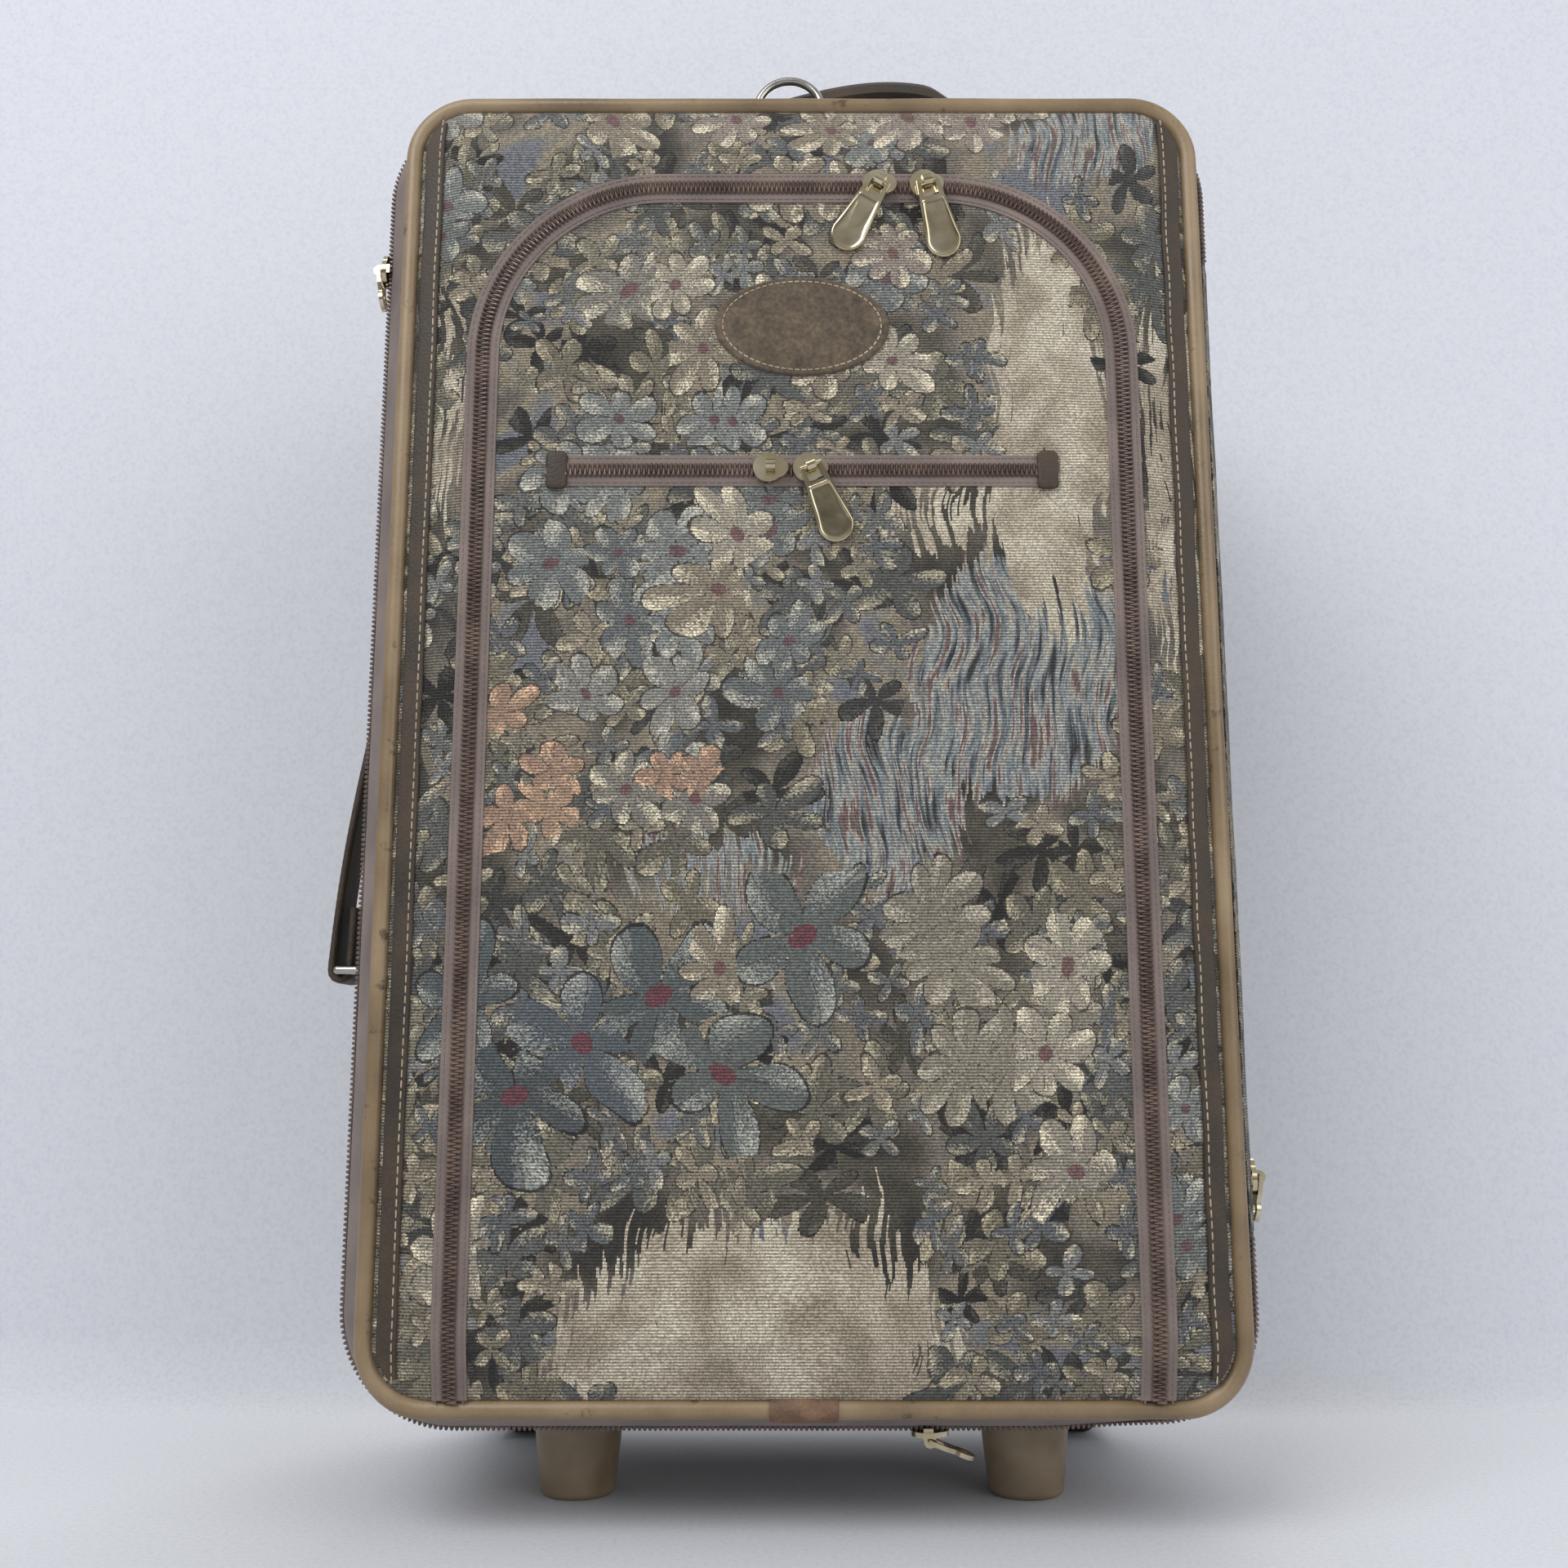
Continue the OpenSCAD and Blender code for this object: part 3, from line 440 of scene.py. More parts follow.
def scatter(template: Shape, origins: Array, x_axis: Array, y_axis: Array, z_axis: Array) -> Shape:
    """Repeats a small shape at many places.

    Args:
        template: the shape, about its own origin.
        origins: where each copy goes.
        x_axis, y_axis, z_axis: the copies' axes.

    Returns:
        All the copies as one shape.
    """
    local = np.vstack(template.points)
    x_axis, y_axis, z_axis = (np.broadcast_to(axis, origins.shape) for axis in (x_axis, y_axis, z_axis))
    points = (origins[:, None, :] + local[None, :, :1] * x_axis[:, None, :]
              + local[None, :, 1:2] * y_axis[:, None, :] + local[None, :, 2:] * z_axis[:, None, :])
    k = len(local)
    faces = [tuple(i + copy * k for i in f) for copy in range(len(origins)) for f in template.faces]
    return Shape().add(points.reshape(-1, 3), faces)


def capsule(length: float, r: float, sides: int = 6) -> Shape:
    """Makes a short thread with rounded ends along its x axis."""
    along = np.array([-0.5, -0.4, 0.4, 0.5]) * length
    width = np.array([0.35, 1, 1, 0.35]) * r
    path = np.column_stack([along, np.zeros(4), np.zeros(4)])
    profile = np.array([round_profile(w, sides) for w in width])
    return sweep(path, (0.0, 1, 0), (0.0, 0, 1), profile)


def settle(piece: Piece, body: str, nodes: Sequence[str] = ()) -> Piece:
    """Gives a piece its body and the CAD nodes that it stands for.

    Args:
        piece: the new object.
        body: the CAD body that carries it.
        nodes: the nodes that it replaces.

    Returns:
        The same piece.
    """
    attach(piece, body)
    if nodes:
        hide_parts(*nodes)
    LOG.info("%s rides on %s, %d faces", piece.name, body, len(piece.data.polygons))
    return piece


def motif_group() -> bpy.types.NodeTree:
    """Makes the node group of one woven motif: petals or leaves round the middle of each cell.

    Returns:
        A group from a place and a motif's shape to what is inside, its lines, how far out and on which half of
            its petal a point lies, the heart, and the cell's random colour and middle.
    """
    tree = bpy.data.node_groups.new("woven_motif", "ShaderNodeTree")
    face = tree.interface
    face.new_socket("Place", in_out="INPUT", socket_type="NodeSocketVector")
    for name in ("Size", "Petals", "Slim", "Heart", "Line"):
        face.new_socket(name, in_out="INPUT", socket_type="NodeSocketFloat")
    for name in ("Inside", "Outline", "Reach", "Side", "Core"):
        face.new_socket(name, in_out="OUTPUT", socket_type="NodeSocketFloat")
    face.new_socket("Random", in_out="OUTPUT", socket_type="NodeSocketColor")
    face.new_socket("Middle", in_out="OUTPUT", socket_type="NodeSocketVector")
    graph = Graph(tree, {o.name: o for o in tree.nodes.new("NodeGroupInput").outputs})
    graph.add([
        ("scale", "Math DIVIDE", 1.0, "Size"),
        ("cell", "TexVoronoi 2D", "Place", {"Randomness": 0.82, "Scale": "scale"}),
        ("local", "VectorMath SUBTRACT", "Place", "cell.Position"),
        ("flat", "VectorMath MULTIPLY", "local", (1, 1, 0)),
        ("xyz", "SeparateXYZ", "flat"),
        ("length", "VectorMath LENGTH", "flat"),
        ("dice", "SeparateColor", "cell.Color"),
        ("angle", "Math ARCTAN2", "xyz.Y", "xyz.X"),
        ("turn", "Math MULTIPLY_ADD", "dice.Red", 6.283, "angle"),
        ("half_petals", "Math MULTIPLY", "Petals", 0.5),
        ("beat", "Math MULTIPLY", "turn", "half_petals"),
        ("cosine", "Math COSINE", "beat"),
        ("wave", "Math ABSOLUTE", "cosine"),
        ("petal", "Math POWER", "wave", "Slim"),
        ("grown", "Math MULTIPLY_ADD", "dice.Blue", 0.2, 0.5),
        ("radius", "Math MULTIPLY", "grown", "Size"),
        ("tips", "Math SUBTRACT", 1.0, "Heart"),
        ("share", "Math MULTIPLY_ADD", "petal", "tips", "Heart"),
        # No two petals are quite as long
        ("uneven_turn", "Math MULTIPLY_ADD", "turn", 2.0, "dice.Green"),
        ("uneven", "Math SINE", "uneven_turn"),
        ("length_share", "Math MULTIPLY_ADD", "uneven", 0.14, 0.9),
        ("even_edge", "Math MULTIPLY", "radius", "share"),
        ("edge", "Math MULTIPLY", "even_edge", "length_share"),
        ("gap", "Math SUBTRACT", "edge", "length.Value"),
        ("inside", "Math GREATER_THAN", "gap", 0.0),
        ("near_edge", "Math LESS_THAN", "gap", "Line"),
        ("fold_width", "Math DIVIDE", "Line", "radius"),
        ("fold", "Math LESS_THAN", "wave", "fold_width"),
        ("sine", "Math SINE", "beat"),
        ("vein_side", "Math ABSOLUTE", "sine"),
        ("vein_wide", "Math MULTIPLY", "fold_width", 0.8),
        ("vein", "Math LESS_THAN", "vein_side", "vein_wide"),
        ("vein_soft", "Math MULTIPLY", "vein", 0.55),
        ("core_r", "Math MULTIPLY", "radius", 0.13),
        ("core", "Math LESS_THAN", "length.Value", "core_r"),
        ("beat_twice", "Math MULTIPLY", "beat", 2.0),
        ("sine_twice", "Math SINE", "beat_twice"),
        ("side", "MapRange", "sine_twice", -0.5, 0.5),
        ("lines", "Math MAXIMUM", "near_edge", "fold"),
        ("all_lines", "Math MAXIMUM", "lines", "vein_soft"),
        ("reach", "Math DIVIDE", "length.Value", "radius"),
        ("result", "NodeGroupOutput", {"Inside": "inside", "Outline": "all_lines", "Reach": "reach", "Side": "side",
                                       "Core": "core", "Random": "cell.Color", "Middle": "cell.Position"}),
    ])
    return tree


@dataclass(frozen=True)
class Clearing:
    """A soft patch of bare ground on the cloth, in millimetres."""

    x: float
    z: float
    half_w: float
    half_h: float
    weight: float = 1.0


def clearing_group(name: str, patches: Sequence[Clearing]) -> bpy.types.NodeTree:
    """Makes the node group that says how open the ground is at a place.

    Args:
        name: the group's name.
        patches: where the open ground lies.

    Returns:
        A group from a place to about 0 to 1.
    """
    tree = bpy.data.node_groups.new(name, "ShaderNodeTree")
    tree.interface.new_socket("Place", in_out="INPUT", socket_type="NodeSocketVector")
    tree.interface.new_socket("Open", in_out="OUTPUT", socket_type="NodeSocketFloat")
    graph = Graph(tree, {"Place": tree.nodes.new("NodeGroupInput").outputs[0]})
    last = None
    for i, patch in enumerate(patches):
        graph.add([
            (f"near{i}", "VectorMath SUBTRACT", "Place", (patch.x, patch.z, 0)),
            (f"flat{i}", "VectorMath MULTIPLY", f"near{i}", (1 / patch.half_w, 1 / patch.half_h, 0)),
            (f"far{i}", "VectorMath LENGTH", f"flat{i}"),
            (f"open{i}", "MapRange SMOOTHSTEP", f"far{i}.Value", 1.25, 0.55, 0, patch.weight),
        ])
        if last:
            graph.add([(f"sum{i}", "Math MAXIMUM", last, f"open{i}")])
        last = f"sum{i}" if last else f"open{i}"
    graph.add([("result", "NodeGroupOutput", {"Open": last})])
    return tree


@dataclass(frozen=True)
class Motif:
    """One kind of woven plant: its size in millimetres, its shape, its colours and where it grows."""

    name: str
    size: float
    petals: float
    slim: float
    colours: tuple[str, ...]
    line: str
    seed: float
    amount: float
    field_size: float
    patches: tuple[Clearing, ...] = ()
    line_w: float = 0.8
    heart: float = 0.28
    pale: str = "#c6bda6"
    paleness: float = 0.7
    core: str = ""


BURGUNDY = "#6f474d"
# The plants of the print, from the back of the picture to the front. Sizes are measured across a plant,
# and the patches say where more of that kind grows.
PLANTS: tuple[Motif, ...] = (
    Motif("dark_leaves", 30, 5, 1.2, ("#393835", "#484846", "#312f2d", "#555249"), "#252220", 11, 0.55, 55,
          heart=0.12, pale="#77756c", paleness=0.5),
    Motif("sage_leaves", 33, 5, 0.85, ("#6f6c61", "#646562", "#797365", "#5e5f5b", "#827b6c"), "#2b2825",
          23, 0.72, 70, heart=0.14, pale="#bdb49d", paleness=0.8),
    Motif("small_leaves", 20, 4, 1.1, ("#837d6f", "#6e6f6c", "#8d8576", "#696b6c", "#7d7e7c"), "#2d2926",
          37, 0.62, 40, heart=0.12, pale="#c8bfa8", paleness=0.8),
    Motif("slate_leaves", 58, 5, 0.6, ("#5f6464", "#575c5d", "#686c69", "#61666a"), "#242323", 63, 0.0, 60,
          (Clearing(-82, 180, 78, 52, 0.95), Clearing(12, 196, 50, 46, 0.95)), 1.3, heart=0.1,
          pale="#b1b1a8", paleness=0.8, core=BURGUNDY),
    Motif("pale_shrub", 42, 9, 0.35, ("#857f74", "#8b8578"), "#38342f", 45, 0.0, 60,
          (Clearing(76, 214, 52, 44, 0.95),), 0.9, pale="#b9b2a2", paleness=0.8),
    Motif("blue_flowers", 33, 6, 0.4, ("#757876", "#80827f", "#6d706f", "#878680", "#727572"), "#302f2d",
          51, 0.15, 90, (Clearing(-70, 415, 80, 62, 0.6), Clearing(-40, 345, 70, 44, 0.5),
                         Clearing(-150, 565, 26, 50, 0.5), Clearing(150, 120, 40, 60, 0.4)), 0.9,
          pale="#bdb9ac", paleness=0.8, core="#6d5557"),
    Motif("ivory_flowers", 37, 7, 0.4, ("#8f897e", "#837f77", "#9a9487", "#898173", "#8e857c"), "#35312c",
          77, 0.2, 80, (Clearing(-10, 530, 95, 48, 0.62), Clearing(100, 190, 40, 50, 0.45),
                        Clearing(-110, 500, 40, 40, 0.4), Clearing(10, 612, 150, 22, 0.62)), 0.9,
          pale="#d8cfb9", paleness=0.9, core="#75595a"),
    Motif("peach_flowers", 26, 5, 0.55, ("#9a8474", "#a08a77", "#8f7f6f"), "#3f362f", 91, 0.02, 60,
          (Clearing(-112, 305, 22, 52, 0.66), Clearing(-66, 300, 34, 26, 0.5), Clearing(-152, 230, 18, 30, 0.4)),
          0.8, pale="#d0b397", paleness=0.85),
)
SAND = (Clearing(104, 455, 30, 105), Clearing(160, 440, 18, 120, 0.7), Clearing(-20, 72, 86, 62),
        Clearing(-154, 470, 18, 70, 0.55), Clearing(60, 420, 30, 22, 0.55))
DRIFTS = (Clearing(92, 345, 52, 62), Clearing(35, 290, 40, 44, 0.8), Clearing(128, 592, 42, 26, 0.75),
          Clearing(-40, 262, 50, 22, 0.6))


@dataclass(frozen=True)
class Finish:
    """A surface: its name, its shader values, and the sizes of its pattern in millimetres."""

    name: str
    roughness: float
    metallic: float = 0.0
    ior: Optional[float] = None
    sheen: float = 0.0

    def start(self) -> tuple[bpy.types.Material, Graph, bpy.types.Node]:
        """Makes the material with its plain values set.

        Returns:
            The material, its nodes and its shader.
        """
        material = bpy.data.materials.new(self.name)
        material.use_nodes = True
        graph = Graph(material.node_tree)
        shader = next(n for n in graph.tree.nodes if n.type == "BSDF_PRINCIPLED")
        shader.inputs["Roughness"].default_value = self.roughness
        shader.inputs["Metallic"].default_value = self.metallic
        if self.ior is not None:
            shader.inputs["IOR"].default_value = self.ior
        shader.inputs["Sheen Weight"].default_value = self.sheen
        return material, graph, shader

    def finish(self, graph: Graph, shader: bpy.types.Node, colour: str, height: str, depth: float,
               rough: str = "") -> None:
        """Links a colour, a height and a roughness to the shader.

        Args:
            graph, shader: the material's nodes and its shader.
            colour, height, rough: names of outputs. The height runs from 0 to 1.
            depth: how deep a height of 1 is, in millimetres.
        """
        graph.add([("bump", "Bump", {"Strength": 1.0, "Distance": depth * MM, "Height": height})])
        for name, socket in ((colour, "Base Color"), (rough, "Roughness"), ("bump", "Normal")):
            if name:
                graph.link(name, shader.inputs[socket])


# The place on the part in millimetres, as "place"
PLACE_ROWS = [("coords", "TexCoord"), ("place", "VectorMath SCALE", "coords.Object", {"Scale": 1 / MM})]


@dataclass(frozen=True)
class Tapestry(Finish):
    """Jacquard woven cotton: matt thread with flat leaves and flowers, and ribs where the weft floats."""

    thread_w: float = 0.62
    thread_h: float = 0.62
    rib_pitch: float = 1.25
    warp_size: float = 55.0
    warp_depth: float = 7.0

    def make(self) -> bpy.types.Material:
        """Builds the cloth from its ground, its plants and its weave.

        Returns:
            The finished material.
        """
        material, graph, shader = self.start()
        graph.add([
            ("cloth", "Attribute", {"attribute_name": CLOTH}),
            ("sway", "TexNoise 2D", "cloth.Vector", {"Scale": 1 / self.warp_size, "Detail": 1.0}),
            ("sway_mid", "VectorMath SUBTRACT", "sway.Color", (0.5, 0.5, 0.5)),
            ("sway_mm", "VectorMath SCALE", "sway_mid", {"Scale": self.warp_depth * 3}),
            ("swayed", "VectorMath ADD", "cloth.Vector", "sway_mm"),
            # Each thread takes one colour, so the plants' edges step from thread to thread
            ("threads", "VectorMath SNAP", "swayed", (self.thread_w, self.thread_h, 1.0)),
            ("thread_dice", "TexWhiteNoise 2D", "threads"),
            # Shades meet in a scatter of single threads, as in a woven picture
            ("scatter", "Math MULTIPLY_ADD", "thread_dice.Value", 0.5, -0.25),
        ])
        self.ground(graph)
        motif = motif_group()
        colour = "ground"
        for plant in PLANTS:
            colour = self.plant(graph, plant, motif, colour)
        self.weave(graph, colour)
        # Dark and pale threads drawn further apart, about the cloth's middle tone
        graph.add([
            ("deeper", "Gamma", "woven", {"Gamma": 1.24}),
            ("dyed", "VectorMath SCALE", "deeper", {"Scale": 1.48}),
        ])
        self.finish(graph, shader, "dyed", "relief", 0.35)
        return material

    def ground(self, graph: Graph) -> None:
        """Adds the cloth's ground: soft fields of sage and slate, streaks, and bare sand with ragged edges."""
        sand = clearing_group("sand_ground", SAND)
        drifts = clearing_group("hanging_drifts", DRIFTS)
        clearing_group("bare_ground", SAND + DRIFTS)
        graph.add([
            ("field", "TexNoise 2D", "threads", {"Scale": 1 / 46, "Detail": 2.0}),
            ("field_colour", "ValToRGB", "field"),
            ("tall", "VectorMath MULTIPLY", "threads", (1 / 2.6, 1 / 30, 0)),
            ("streak", "TexNoise 2D", "tall", {"Scale": 1.0, "Detail": 2.0}),
            ("streak_colour", "ValToRGB", "streak"),
            ("sand", "Group", "threads", {"node_tree": sand}),
            ("drift", "Group", "threads", {"node_tree": drifts}),
            ("drift_rag", "Math ADD", "drift", "streak"),
            ("drift_in", "Math GREATER_THAN", "drift_rag", 1.02),
            ("drifted", "Mix", "drift_in", "field_colour", "streak_colour"),
            ("sand_rag", "Math MULTIPLY_ADD", "streak", 1.7, "sand"),
            ("sand_in", "Math GREATER_THAN", "sand_rag", 1.38),
            ("sand_tone", "TexNoise 2D", "threads", {"Scale": 1 / 24, "Detail": 1.0}),
            ("sand_colour", "ValToRGB", "sand_tone"),
            ("ground", "Mix", "sand_in", "drifted", "sand_colour"),
        ])
        for name, stops in (
                ("field_colour", ((0.28, "#3f3c38"), (0.4, "#5d594f"), (0.5, "#79736a"), (0.6, "#8f8675"),
                                  (0.7, "#74767a"))),
                ("streak_colour", ((0.3, "#3d3c3b"), (0.4, "#6b7073"), (0.5, "#8d9190"), (0.58, "#a39f93"),
                                   (0.66, "#73595c"), (0.74, "#6e6b62"))),
                ("sand_colour", ((0.3, "#978e7e"), (0.5, "#aca393"), (0.65, "#b8b1a1")))):
            graph.ramp(name, stops)

    def plant(self, graph: Graph, plant: Motif, motif: bpy.types.NodeTree,
              under: str) -> str:
        """Lays one kind of plant over the cloth.

        Args:
            graph: the material's nodes.
            plant: the plant.
            motif: the group that draws a motif.
            under: the colour beneath.

        Returns:
            The name of the new colour.
        """
        n = plant.name
        shift = (plant.seed * 31.0, plant.seed * 17.0, 0)
        graph.add([
            ("_shift", "VectorMath ADD", "threads", shift),
            (n, "Group", "_shift",
             {"node_tree": motif, "Size": plant.size, "Petals": plant.petals, "Slim": plant.slim,
              "Heart": plant.heart, "Line": plant.line_w}),
            ("_dice", "SeparateColor", ".Random"),
        ], n)
        inside = self.beds(graph, plant, shift)
        graph.add([
            ("_colour", "ValToRGB", f"{n}_dice.Green"),
            # Petals pale in steps towards their tips, more on one half than on the other
            ("_far", "Math ADD", ".Reach", "scatter"),
            ("_tip", "MapRange", "_far", 0.2, 0.85),
            ("_half", "MapRange", ".Side", 0, 1, 0.3, 1.0),
            ("_light", "Math MULTIPLY", "_tip", "_half"),
            ("_step", "Math SNAP", "_light", 0.33),
            ("_paler", "Math MULTIPLY", "_step", plant.paleness),
            ("_shaded", "Mix", "_paler", "_colour", linear(plant.pale)),
            ("_lines", "Math MULTIPLY", ".Outline", 0.85),
            ("_lined", "Mix", "_lines", "_shaded", linear(plant.line)),
            ("_heart", "Math MULTIPLY", ".Core", 0.9 if plant.core else 0.0),
            ("_drawn", "Mix", "_heart", "_lined", linear(plant.core or plant.line)),
            ("_laid", "Mix", inside, under, "_drawn"),
        ], n)
        count = len(plant.colours)
        graph.ramp(f"{n}_colour", [(i / count, c) for i, c in enumerate(plant.colours)], step=True)
        return f"{n}_laid"

    def beds(self, graph: Graph, plant: Motif, shift: Sequence[float]) -> str:
        """Says where a plant grows: in soft fields and beds, and not on bare ground.

        Args:
            graph: the material's nodes.
            plant: the plant.
            shift: how far its scatter is moved.

        Returns:
            The name of the value that is 1 inside a plant that grows.
        """
        n = plant.name
        graph.add([
            ("_home", "VectorMath SUBTRACT", ".Middle", shift),
            ("_field", "TexNoise 2D", "_home", {"Scale": 1 / plant.field_size, "Detail": 0.0}),
            ("_bare", "Group", "_home", {"node_tree": bpy.data.node_groups["bare_ground"]}),
            ("_want", "Math MULTIPLY_ADD", "_bare", -0.75, "_field"),
        ], n)
        want = f"{n}_want"
        if plant.patches:
            extra = clearing_group(n + "_beds", plant.patches)
            graph.add([("_bed", "Group", "_home", {"node_tree": extra}),
                               ("_more", "Math ADD", want, "_bed")], n)
            want = f"{n}_more"
        graph.add([
            ("_grows", "Math GREATER_THAN", want, 1.0 - plant.amount - 0.08),
            ("_in", "Math MULTIPLY", "_grows", ".Inside"),
        ], n)
        return f"{n}_in"

    def weave(self, graph: Graph, colour: str) -> None:
        """Breaks the picture up into thread: single threads vary, and dark warp shows between them."""
        graph.add([
            ("plain", "SeparateXYZ", "cloth.Vector"),
            ("rib_angle", "Math MULTIPLY", "plain.Y", 2 * math.pi / self.rib_pitch),
            ("rib_wave", "Math SINE", "rib_angle"),
            ("rib", "MapRange", "rib_wave", -1.0, 1.0, 0.0, 1.0),
            ("warp_angle", "Math MULTIPLY", "plain.X", 2 * math.pi / (2 * self.thread_w)),
            ("warp_wave", "Math SINE", "warp_angle"),
            ("cross", "Math MULTIPLY_ADD", "warp_wave", 0.25, "rib"),
            ("rib_tone", "MapRange", "rib", 0.0, 1.0, 0.62, 1.28),
            ("ribbed", "Mix MULTIPLY", 1.0, colour, "rib_tone"),
            ("thread_tone", "MapRange", "thread_dice.Value", 0.0, 1.0, 0.66, 1.36),
            ("threaded", "Mix MULTIPLY", 1.0, "ribbed", "thread_tone"),
            ("dark_warp", "Math GREATER_THAN", "thread_dice.Value", 0.9),
            ("dark_warp_part", "Math MULTIPLY", "dark_warp", 0.5),
            ("woven", "Mix", "dark_warp_part", "threaded", linear("#3f3a32")),
            ("relief", "Math MULTIPLY_ADD", "thread_dice.Value", 0.35, "cross"),
        ])


class Grain(Enum):
    """How a surface's fine relief was made."""

    PEBBLE = "pebbled skin"
    FIBRE = "fibre or moulded texture"
    WEAVE = "crossing threads"
    BRUSHED = "drawn or polished metal"


@dataclass(frozen=True)
class Worked(Finish):
    """A surface with soft changes of shade, a fine relief and wear.

    Sizes are in millimetres. The shades follow each other across soft patches, and wear shows the worn
    colour in ragged spots.
    """

    shades: tuple[str, ...] = ()
    mottle: float = 30.0
    grain: Grain = Grain.FIBRE
    grain_size: float = 1.0
    grain_depth: float = 0.05
    grain_tone: float = 0.1
    worn: str = ""
    worn_size: float = 6.0
    worn_amount: float = 0.0
    rough_spread: float = 0.08

    def make(self) -> bpy.types.Material:
        """Builds the surface.

        Returns:
            The finished material.
        """
        material, graph, shader = self.start()
        graph.add(PLACE_ROWS + [
            ("patches", "TexNoise", "place", {"Scale": 1 / self.mottle, "Detail": 3.0}),
            ("shade", "ValToRGB", "patches"),
            ("rough", "MapRange", "patches", 0.35, 0.65, max(0.02, self.roughness - self.rough_spread),
             min(1.0, self.roughness + self.rough_spread)),
        ])
        graph.ramp("shade", [(0.32 + 0.36 * i / max(1, len(self.shades) - 1), c)
                                        for i, c in enumerate(self.shades)])
        self.relief(graph)
        graph.add([
            ("tone", "MapRange", "grain", 0.0, 1.0, 1 - self.grain_tone, 1 + self.grain_tone),
            ("grained", "Mix MULTIPLY", 1.0, "shade", "tone"),
        ])
        colour = "grained"
        if self.worn:
            graph.add([
                ("rubbing", "TexNoise", "place", {"Scale": 1 / self.worn_size, "Detail": 5.0, "Roughness": 0.62}),
                ("rubbed", "MapRange", "rubbing", 0.72 - self.worn_amount, 0.8 - self.worn_amount, 0, 0.85),
                ("worn", "Mix", "rubbed", "grained", linear(self.worn)),
            ])
            colour = "worn"
        self.finish(graph, shader, colour, "grain", self.grain_depth, "rough")
        return material

    def relief(self, graph: Graph) -> None:
        """Adds the fine relief as "grain", from 0 to 1."""
        if self.grain is Grain.PEBBLE:
            graph.add([("cells", "TexVoronoi", "place", {"Scale": 1 / self.grain_size}),
                               ("grain", "MapRange", "cells.Distance", 0.0, 0.75, 1.0, 0.0)])
        elif self.grain is Grain.WEAVE:
            turn = 2 * math.pi / self.grain_size
            graph.add([
                ("one_way", "VectorMath DOT_PRODUCT", "place", (turn, 0.35 * turn, turn)),
                ("other_way", "VectorMath DOT_PRODUCT", "place", (turn, turn, -turn)),
                ("one", "Math SINE", "one_way.Value"),
                ("other", "Math SINE", "other_way.Value"),
                ("crossed", "Math MULTIPLY", "one", "other"),
                ("grain", "MapRange", "crossed", -1.0, 1.0),
            ])
        elif self.grain is Grain.BRUSHED:
            graph.add([
                ("drawn", "VectorMath MULTIPLY", "place", (1.0, 1.0, 0.06)),
                ("grain", "TexNoise", "drawn", {"Scale": 1 / self.grain_size, "Detail": 3.0}),
            ])
        else:
            graph.add([("grain", "TexNoise", "place", {"Scale": 1 / self.grain_size, "Detail": 4.0})])


# Woven cotton tapestry, matt, with the threads' colours broken up
TAPESTRY = Tapestry("woven_cotton_tapestry", 0.92, ior=1.5, sheen=0.12)
# Vinyl over a round cord: a dull plastic gloss, with brown rubs along the case's edges
PIPING = Worked("vinyl_piping", 0.36, ior=1.5, shades=("#75634a", "#867255", "#968164"), mottle=45,
                grain=Grain.PEBBLE, grain_size=1.6, grain_depth=0.05, grain_tone=0.04,
                worn="#4d3c2b", worn_size=9, worn_amount=0.1)
# Oiled split leather: dark and half matt, its edges rubbed lighter
LEATHER = Worked("oiled_leather", 0.62, ior=1.5, sheen=0.03, shades=("#2f261c", "#3c3125", "#4a3d2e"),
                 mottle=24, grain=Grain.PEBBLE, grain_size=1.3, grain_depth=0.12, grain_tone=0.14,
                 worn="#6e5f4c", worn_size=5, worn_amount=0.015)
# The sleeve over the piping's joint: the same leather, rubbed pale by the floor
RUBBED_LEATHER = Worked("rubbed_leather", 0.6, ior=1.5, shades=("#5a4534", "#6f543f", "#85684f"),
                        mottle=9, grain=Grain.PEBBLE, grain_size=1.3, grain_depth=0.12, grain_tone=0.14,
                        worn="#97805f", worn_size=5, worn_amount=0.06)
# Brushed suede: no gloss, and a nap that lies in patches, drawn coarser than it is so that it shows
SUEDE = Worked("brushed_suede", 0.95, ior=1.5, sheen=0.25, shades=("#4a4033", "#574b3c", "#635746"),
               mottle=7, grain=Grain.FIBRE, grain_size=1.8, grain_depth=0.2, grain_tone=0.85)
# Woven polyester zip tape: fine herringbone, a little silkier than the cloth
ZIP_TAPE = Worked("woven_zip_tape", 0.8, ior=1.5, sheen=0.1, shades=("#6c605b", "#7a6d67", "#877871"),
                  mottle=30, grain=Grain.WEAVE, grain_size=1.5, grain_depth=0.08, grain_tone=0.13)
# Wound nylon coil: smooth plastic thread with small bright lines
ZIP_COIL = Worked("nylon_zip_coil", 0.3, ior=1.53, shades=("#55463e", "#64534a", "#776459"), mottle=12,
                  grain=Grain.FIBRE, grain_size=0.8, grain_depth=0.02, grain_tone=0.08)
# Brass plate, polished: clear reflections with fine rubs
BRASS = Worked("polished_brass_plate", 0.15, metallic=1.0, shades=("#b5a888", "#c6ba9c", "#d2c8b0"),
               mottle=14, grain=Grain.BRUSHED, grain_size=0.7, grain_depth=0.001, grain_tone=0.03,
               rough_spread=0.04, worn="#9c8657", worn_size=4, worn_amount=0.0)
# Nickel plate over wire
NICKEL = Worked("nickel_plated_wire", 0.2, metallic=1.0, shades=("#9f9d97", "#b8b6b0"), mottle=10,
                grain=Grain.BRUSHED, grain_size=0.6, grain_depth=0.01, grain_tone=0.03)
